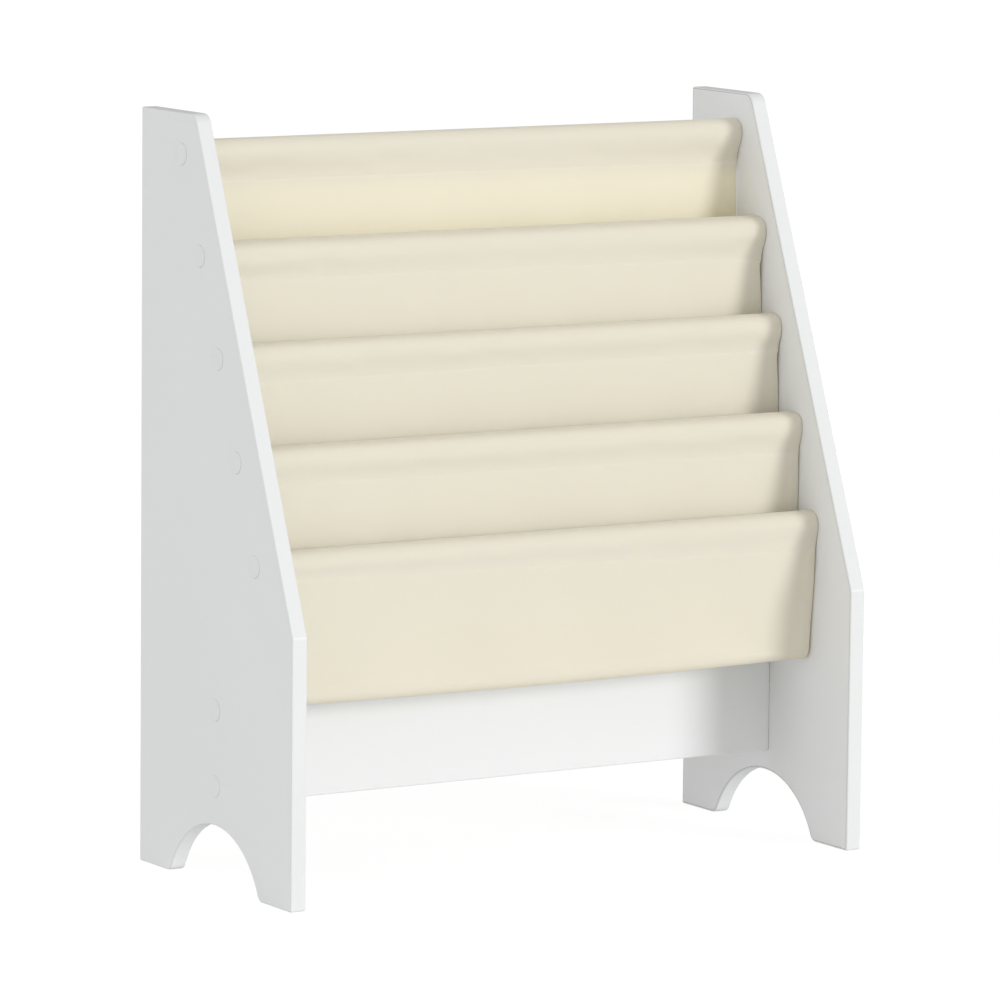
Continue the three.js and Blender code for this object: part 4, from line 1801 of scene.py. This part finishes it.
    def _band(self, index: int, way: int, across: float, tail: float = 0.0) -> list[Point2]:
        """The sewn band's layer behind (1) or in front (-1), from its top down, with a tail."""
        (y0, z0), hang = self.places.rods[index], self.hangs[index]
        y = y0 - hang.lead_at(across) + way * self.layer_offset
        top = z0 - hang.seam_at(across) + self.band_half
        height = 2 * self.band_half
        points = []
        steps = round((height + tail) / self.band_step)
        for i in range(steps + 1):
            down = (height + tail) * i / steps
            stand_off = self.tail_splay * max(0.0, down - height)
            points.append((y + way * stand_off, top - down))
        return points

    def _under_band(self, index: int, across: float, layer: float) -> Point2:
        """Where a wall that is this far off the band's middle leaves the band's foot."""
        (y0, z0), hang = self.places.rods[index], self.hangs[index]
        return y0 - hang.lead_at(across) + layer, z0 - hang.seam_at(across) - self.band_half

    def _pocket_line(self, index: int, across: float) -> tuple[list[Point2], ...]:
        """A pocket's back wall, foot and front wall, in Y and Z, in the order the cloth runs."""
        front_z = self.places.rods[index + 1][1]
        layer = -self.layer_offset if index + 2 == len(self.hangs) else self.layer_offset
        top_back = self._under_band(index, across, -self.layer_offset)
        top_front = self._under_band(index + 1, across, layer)
        lean = self.hangs[index].lean
        foot_y = top_front[0] + self.draw_back
        foot_back_y = top_back[0] - lean
        radius = (foot_back_y - foot_y) / 2
        centre = ((foot_back_y + foot_y) / 2, front_z - self.pocket_drop + self.cloth / 2 + radius)
        count, foot_steps = self.pocket_steps
        shares = [(i / count) ** self.wall_crowding for i in range(count + 1)]
        back = []
        for share in shares:
            y = top_back[0] - lean * float(smooth_step(share))
            back.append((y, top_back[1] + (centre[1] - top_back[1]) * share))
        under = arc(centre, radius, 0.0, -math.pi, foot_steps)
        rise = top_front[1] - centre[1]
        front = []
        for share in reversed(shares):
            up = 1.0 - share
            y = foot_y + (top_front[0] - foot_y) * float(smooth_step(up))
            front.append((y, centre[1] + rise * up))
        return back, under, front

    def _section(self, across: float) -> SectionLine:
        """The whole cloth's middle line at one place across the shelf, from -1 to 1.

        The cloth comes up behind every rod but the last and goes down in front of it. At the last
        one it comes up in front, so that its end is hidden inside the pocket.
        """
        line = SectionLine()
        rods = self.places.rods
        last = len(rods) - 1
        for index, (_, z0) in enumerate(rods):
            stitch = z0 - self.hangs[index].seam_at(across)
            behind, before = self._sleeve_back(index, across), self._sleeve_front(index, across)
            if index == last:
                band = self._band(index, -1, across)[::-1]
                tail = self._band(index, 1, across, self.tail)
                stretches = (band, before[::-1], behind, tail)
            else:
                tail = self._band(index, 1, across, self.tail if index == 0 else 0.0)[::-1]
                stretches = (tail, behind[::-1], before, self._band(index, -1, across))
            for stretch in stretches:
                line.run(stretch, Wall.SLEEVE, index, None, stitch)
            if index == last:
                break
            back, under, front = self._pocket_line(index, across)
            lowest = min(z for _, z in under)
            line.run(back, Wall.BACK, index, (back[0][1], lowest), stitch)
            line.run(under, Wall.FOOT, index, (back[0][1], lowest), stitch)
            next_stitch = rods[index + 1][1] - self.hangs[index + 1].seam_at(across)
            line.run(front, Wall.FRONT, index, (front[-1][1], lowest), next_stitch)
        return line

    def _outward(self, line: SectionLine) -> Array:
        """Which side of the cloth faces out of a sleeve at each station, as 1 or -1."""
        wall, pocket = np.array(line.wall), np.array(line.pocket)
        last = len(self.hangs) - 1
        turned = (wall == Wall.SLEEVE) & (pocket == last)
        turned |= (wall == Wall.FRONT) & (pocket == last - 1)
        return np.where(turned, -1.0, 1.0)

    def _columns(self) -> tuple[Array, Array]:
        """The mesh's columns across the cloth and the cloth's thickness at each."""
        edge = self.half_width - self.hem_cloth / 2
        hem = self.half_width - self.hem_width
        step = self.hem_step
        stitch = self.half_width - self.hem_stitch_inset
        hem_spots = [hem, hem + step, stitch, (stitch + edge) / 2, edge]
        inner = hem - step
        count = round(2 * inner / self.column_pitch)
        middle = np.linspace(-inner, inner, count + 1)
        x = np.concatenate([-np.array(hem_spots[::-1]), middle, np.array(hem_spots)])
        share = smooth_step((np.abs(x) - hem + step) / (2 * step))
        return x, self.cloth + (self.hem_cloth - self.cloth) * share

    def _middle_surface(self, lines: list[SectionLine], x: Array, thickness: Array) -> Array:
        """The cloth's middle surface.

        Args:
            lines: The middle line at evenly spaced places across the shelf, the ends included.
            x: The columns across the cloth.
            thickness: The cloth's thickness at each.

        Returns:
            Places, as an array of stations by columns by 3.
        """
        line = lines[len(lines) // 2]
        share = interpolation(np.linspace(-1.0, 1.0, len(lines)), x / self.half_width)
        y0, z0, below = (
            np.array([getattr(one, name) for one in lines]).T @ share.T
            for name in ("y", "z", "below_stitch")
        )
        wall = np.array(line.wall)[:, None]
        pocket = np.array(line.pocket)[:, None]
        freedom = np.array(line.freedom)[:, None]
        across = (x / self.half_width)[None, :]
        ty, tz = np.gradient(y0, axis=0), np.gradient(z0, axis=0)
        size = np.hypot(ty, tz) * self._outward(line)[:, None]
        ny, nz = tz / size, -ty / size

        wave = self.fold_count * math.pi * across + pocket * self.fold_phase_step
        front_fold = np.sin(wave)
        back_fold = self.back_fold_share * np.sin(wave + self.fold_phase_step)
        way_round = np.select([wall == Wall.BACK, wall == Wall.FRONT], [0.0, 1.0], 0.5)
        fold = back_fold + (front_fold - back_fold) * way_round
        y = y0 + self.fold_depth * fold * freedom
        z = z0 - self.sag * (1.0 - across**2) * freedom

        fade_start, fade_length = self.hem_fade
        near = 1.0 - smooth_step((np.abs(below) - fade_start) / fade_length)
        spread = (thickness - self.cloth)[None, :] / 2 * near
        x_grid = np.broadcast_to(x[None, :], y.shape)
        pucker_shift, slack_shift, seam_shift = self.row_shifts
        puckers = Ripple(self.seed, *self.relief.puckers)
        uneven = puckers.at(x_grid + pucker_shift * pocket)
        lift = spread + self.relief.at(below, uneven)
        rod_y = np.array([self.places.rods[k][0] for k in line.pocket])[:, None]
        in_front = (wall == Wall.SLEEVE) & (y0 < rod_y)
        above, length = self.slack_place
        slack_share = np.where(in_front, np.exp(-(((below + above) / length) ** 2)), 0.0)
        baggy = Ripple(self.seed + 1, *self.slack_waves).at(x_grid + slack_shift * pocket, below)
        lift = lift + self.slack_change * slack_share * baggy
        y = y + ny * lift
        z = z + nz * lift
        seam = pocket + (wall == Wall.FRONT)
        stray = Ripple(self.seed + 2, *self.seam_waves).at(x_grid + seam_shift * seam)
        z = z + self.seam_waver * stray * np.exp(-((below / self.seam_spread) ** 2))

        notch = np.array([hang.notch for hang in self.hangs])[seam]
        ease_start, ease_length = self.notch_ease
        grown = smooth_step((below - ease_start) / ease_length)
        under = self.notch_share + (1.0 - self.notch_share) * grown
        under = under * np.exp(-((below / self.notch_reach) ** 2))
        over = self.notch_share * np.exp(-((below / self.notch_over) ** 2))
        drawn = notch * np.where(below > 0, under, over) + self.narrowing * freedom
        x_out = x_grid * (1.0 - drawn / self.half_width)
        return np.stack([x_out, y, z], axis=-1)

    def _draped(self, middle: Array, line: SectionLine, x: Array) -> Array:
        """Lets the pockets settle under their weight, and keeps every wall clear of the next.

        Args:
            middle: The middle surface.
            line: The middle line.
            x: The columns across the cloth.

        Returns:
            The settled middle surface.
        """
        drape = Drape()
        wall, pocket = np.array(line.wall), np.array(line.pocket)
        columns = np.linspace(x[0], x[-1], round((x[-1] - x[0]) / drape.pitch) + 1)
        to_columns, from_columns = even_share(x, columns), interpolation(columns, x)
        stretches, grids, ways_back = [], [], []
        for index in range(len(self.places.rods) - 1):
            rows = np.flatnonzero((pocket == index) & (wall != Wall.SLEEVE))
            part = middle[rows]
            length = running_length(
                np.hypot(np.diff(np.array(line.y)[rows]), np.diff(np.array(line.z)[rows]))
            )
            spots = np.linspace(0.0, length[-1], round(length[-1] / drape.pitch) + 1)
            grid = np.einsum("ri,cj,ijk->rck", even_share(length, spots), to_columns, part)
            free = np.sin(math.pi * np.clip(spots / length[-1], 0, 1))[:, None]
            crease = Ripple(self.seed + 10 + index, *self.crease_waves)
            grid[..., 1] += self.start_crease * free * crease.at(columns[None, :], spots[:, None])
            stretches.append(rows)
            grids.append(grid)
            ways_back.append(interpolation(spots, length))
        settled = middle.copy()
        for rows, moved, back in zip(stretches, drape.settle(grids), ways_back):
            shift = np.einsum("ir,jc,rck->ijk", back, from_columns, moved)
            shift = self.most_moved * np.tanh(shift / self.most_moved)
            shift[..., 0] *= self.sideways_share
            settled[rows] += self._kept_clear(shift, rows, line)
        return settled

    def _kept_clear(self, shift: Array, rows: Array, line: SectionLine) -> Array:
        """Holds back what would push one wall through the wall that hangs next to it.

        Args:
            shift: How far each place moves.
            rows: The stations that it is for.
            line: The middle line.

        Returns:
            The moves, with those towards a neighbour limited by the room there.
        """
        wall = np.array(line.wall)[rows]
        below = np.array(line.below_stitch)[rows]
        rise = self.pocket_drop - self.hangs[0].seam_at(0.0)
        depth = (below - self.band_half) / rise
        room = self.draw_back * smooth_step(depth) * self.room_share + self.least_room
        towards = np.where(wall == Wall.BACK, 1.0, -1.0)[:, None]
        limit = np.where(wall == Wall.FOOT, self.most_moved, room)[:, None]
        move = shift[..., 1] * towards
        held = np.where(move > 0, limit * np.tanh(move / limit), move)
        shift[..., 1] = held * towards
        return shift

    def _sheet_mesh(self, grid: ClothGrid) -> bpy.types.Mesh:
        """Gives the middle surface its thickness, with rounded side edges and closed ends.

        Args:
            grid: The middle surface.

        Returns:
            The mesh, with each point's flat place on the cloth.
        """
        middle, thickness, normal = grid.middle, grid.thickness, grid.normals()
        rows, columns = middle.shape[:2]
        half = thickness[None, :, None] / 2
        outer, inner = middle + normal * half, middle - normal * half
        across = unit(np.gradient(middle, axis=1))
        bead_turns = [math.pi / 4, math.pi / 2, 3 * math.pi / 4]

        def bead(column: int, way: float) -> list[Array]:
            """The rounded edge at one side, from the outer face to the inner one."""
            r = thickness[column] / 2
            spot, n, a = middle[:, column], normal[:, column], across[:, column] * way
            return [spot + n * (r * math.cos(t)) + a * (r * math.sin(t)) for t in bead_turns]

        right = np.stack(bead(columns - 1, 1.0), axis=1)
        left = np.stack(bead(0, -1.0)[::-1], axis=1)
        ring = np.concatenate([outer, right, inner[:, ::-1], left], axis=1)
        count = ring.shape[1]
        index = np.arange(rows * count).reshape(rows, count)
        a, b = index[:-1], np.roll(index[:-1], -1, axis=1)
        c, d = np.roll(index[1:], -1, axis=1), index[1:]
        quads = np.stack([a, b, c, d], axis=-1).reshape(-1, 4).tolist()
        ends = []
        beads = len(bead_turns)
        for row, flip in ((0, False), (rows - 1, True)):
            loop = index[row].tolist()
            top = loop[:columns]
            bottom = loop[columns + beads : 2 * columns + beads][::-1]
            strips = [[top[i], bottom[i], bottom[i + 1], top[i + 1]] for i in range(columns - 1)]
            strips.append([top[-1], bottom[-1], *loop[columns : columns + beads][::-1]])
            strips.append([bottom[0], top[0], *loop[2 * columns + beads :][::-1]])
            ends += [s[::-1] if flip else s for s in strips]
        mesh = bpy.data.meshes.new("sling_cloth")
        mesh.from_pydata(ring.reshape(-1, 3).tolist(), [], quads + ends)

        length = running_length(np.hypot(np.diff(grid.line.y), np.diff(grid.line.z)))
        self.flat_length = float(length[-1])
        flat = np.zeros((rows, count, 3))
        flat[..., 0] = ring[..., 0]
        flat[..., 1] = length[:, None]
        place = mesh.attributes.new("cloth_place", "FLOAT_VECTOR", "POINT")
        place.data.foreach_set("vector", flat.reshape(-1))
        mesh.shade_smooth()
        return mesh

    def build(self, finishes: Finishes) -> None:
        """Makes the cloth and its stitches, and puts them in place."""
        lines = [self._section(across) for across in (-1.0, -0.5, 0.0, 0.5, 1.0)]
        line = lines[2]
        x, thickness = self._columns()
        middle = self._middle_surface(lines, x, thickness)
        middle = self._draped(middle, line, x)
        grid = ClothGrid(line, x, thickness, middle)
        mesh = self._sheet_mesh(grid)
        mesh.materials.append(finishes.canvas)
        cloth = put_in_scene("sling_cloth", mesh)
        count = len(self.places.rods)
        nodes = [f"sleeve_{n}" for n in range(1, count + 1)]
        nodes += [f"pocket_{n}" for n in range(1, count)]
        settle(cloth, Slot.CLOTH, *nodes)
        stitches = self._stitches(grid)
        [run.build(finishes.thread, cloth) for run in stitches]

    def _stitches(self, grid: ClothGrid) -> list[Stitching]:
        """Lays the stitches of the five seams and of the two side hems."""
        line, thickness = grid.line, grid.thickness
        below, wall = np.array(line.below_stitch), np.array(line.wall)
        seams, hems = Stitching("seam_stitches"), Stitching("hem_stitches")
        outward = grid.normals() * self._outward(line)[:, None, None]
        face = grid.middle + outward * thickness[None, :, None] / 2
        near = np.abs(below) < self.on_stitches
        for row in np.flatnonzero((wall == Wall.SLEEVE) & near):
            seams.follow(face[row], outward[row])
        stitch_x = self.half_width - self.hem_stitch_inset
        start, end = self.crowded
        crowded = (below > start) & (below < end) & (wall != Wall.FOOT)
        for target in (-stitch_x, stitch_x):
            column = int(np.argmin(np.abs(grid.x - target)))
            hems.follow(face[:, column], outward[:, column], np.abs(below) > self.hem_break)
            back = grid.middle[:, column] - outward[:, column] * thickness[column] / 2
            hems.follow(back, -outward[:, column], ~crowded & (wall != Wall.SLEEVE))
        return [seams, hems]


def dress_cad_nodes(finishes: Finishes) -> None:
    """Gives the CAD nodes that stay their finishes."""
    for name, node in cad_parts.items():
        for start, finish in (("rod_", finishes.beech), ("screw_", finishes.zinc)):
            if name.startswith(start):
                node.data.materials.clear()
                node.data.materials.append(finish)


def main() -> None:
    """Builds the stage, then each sub-assembly of the shelf in turn."""
    logging.basicConfig(level=logging.INFO, format="%(name)s: %(message)s")
    Studio().build()
    finishes = Finishes()
    places = Places()
    for side in Side:
        SidePanel(side, places).build(finishes)
    CrossBoard(places).build(finishes)
    for side in Side:
        for name in places.screws:
            CoverCap(side, name, places).build(finishes)
    Sling(places).build(finishes)
    dress_cad_nodes(finishes)


if __name__ == "__main__":
    main()
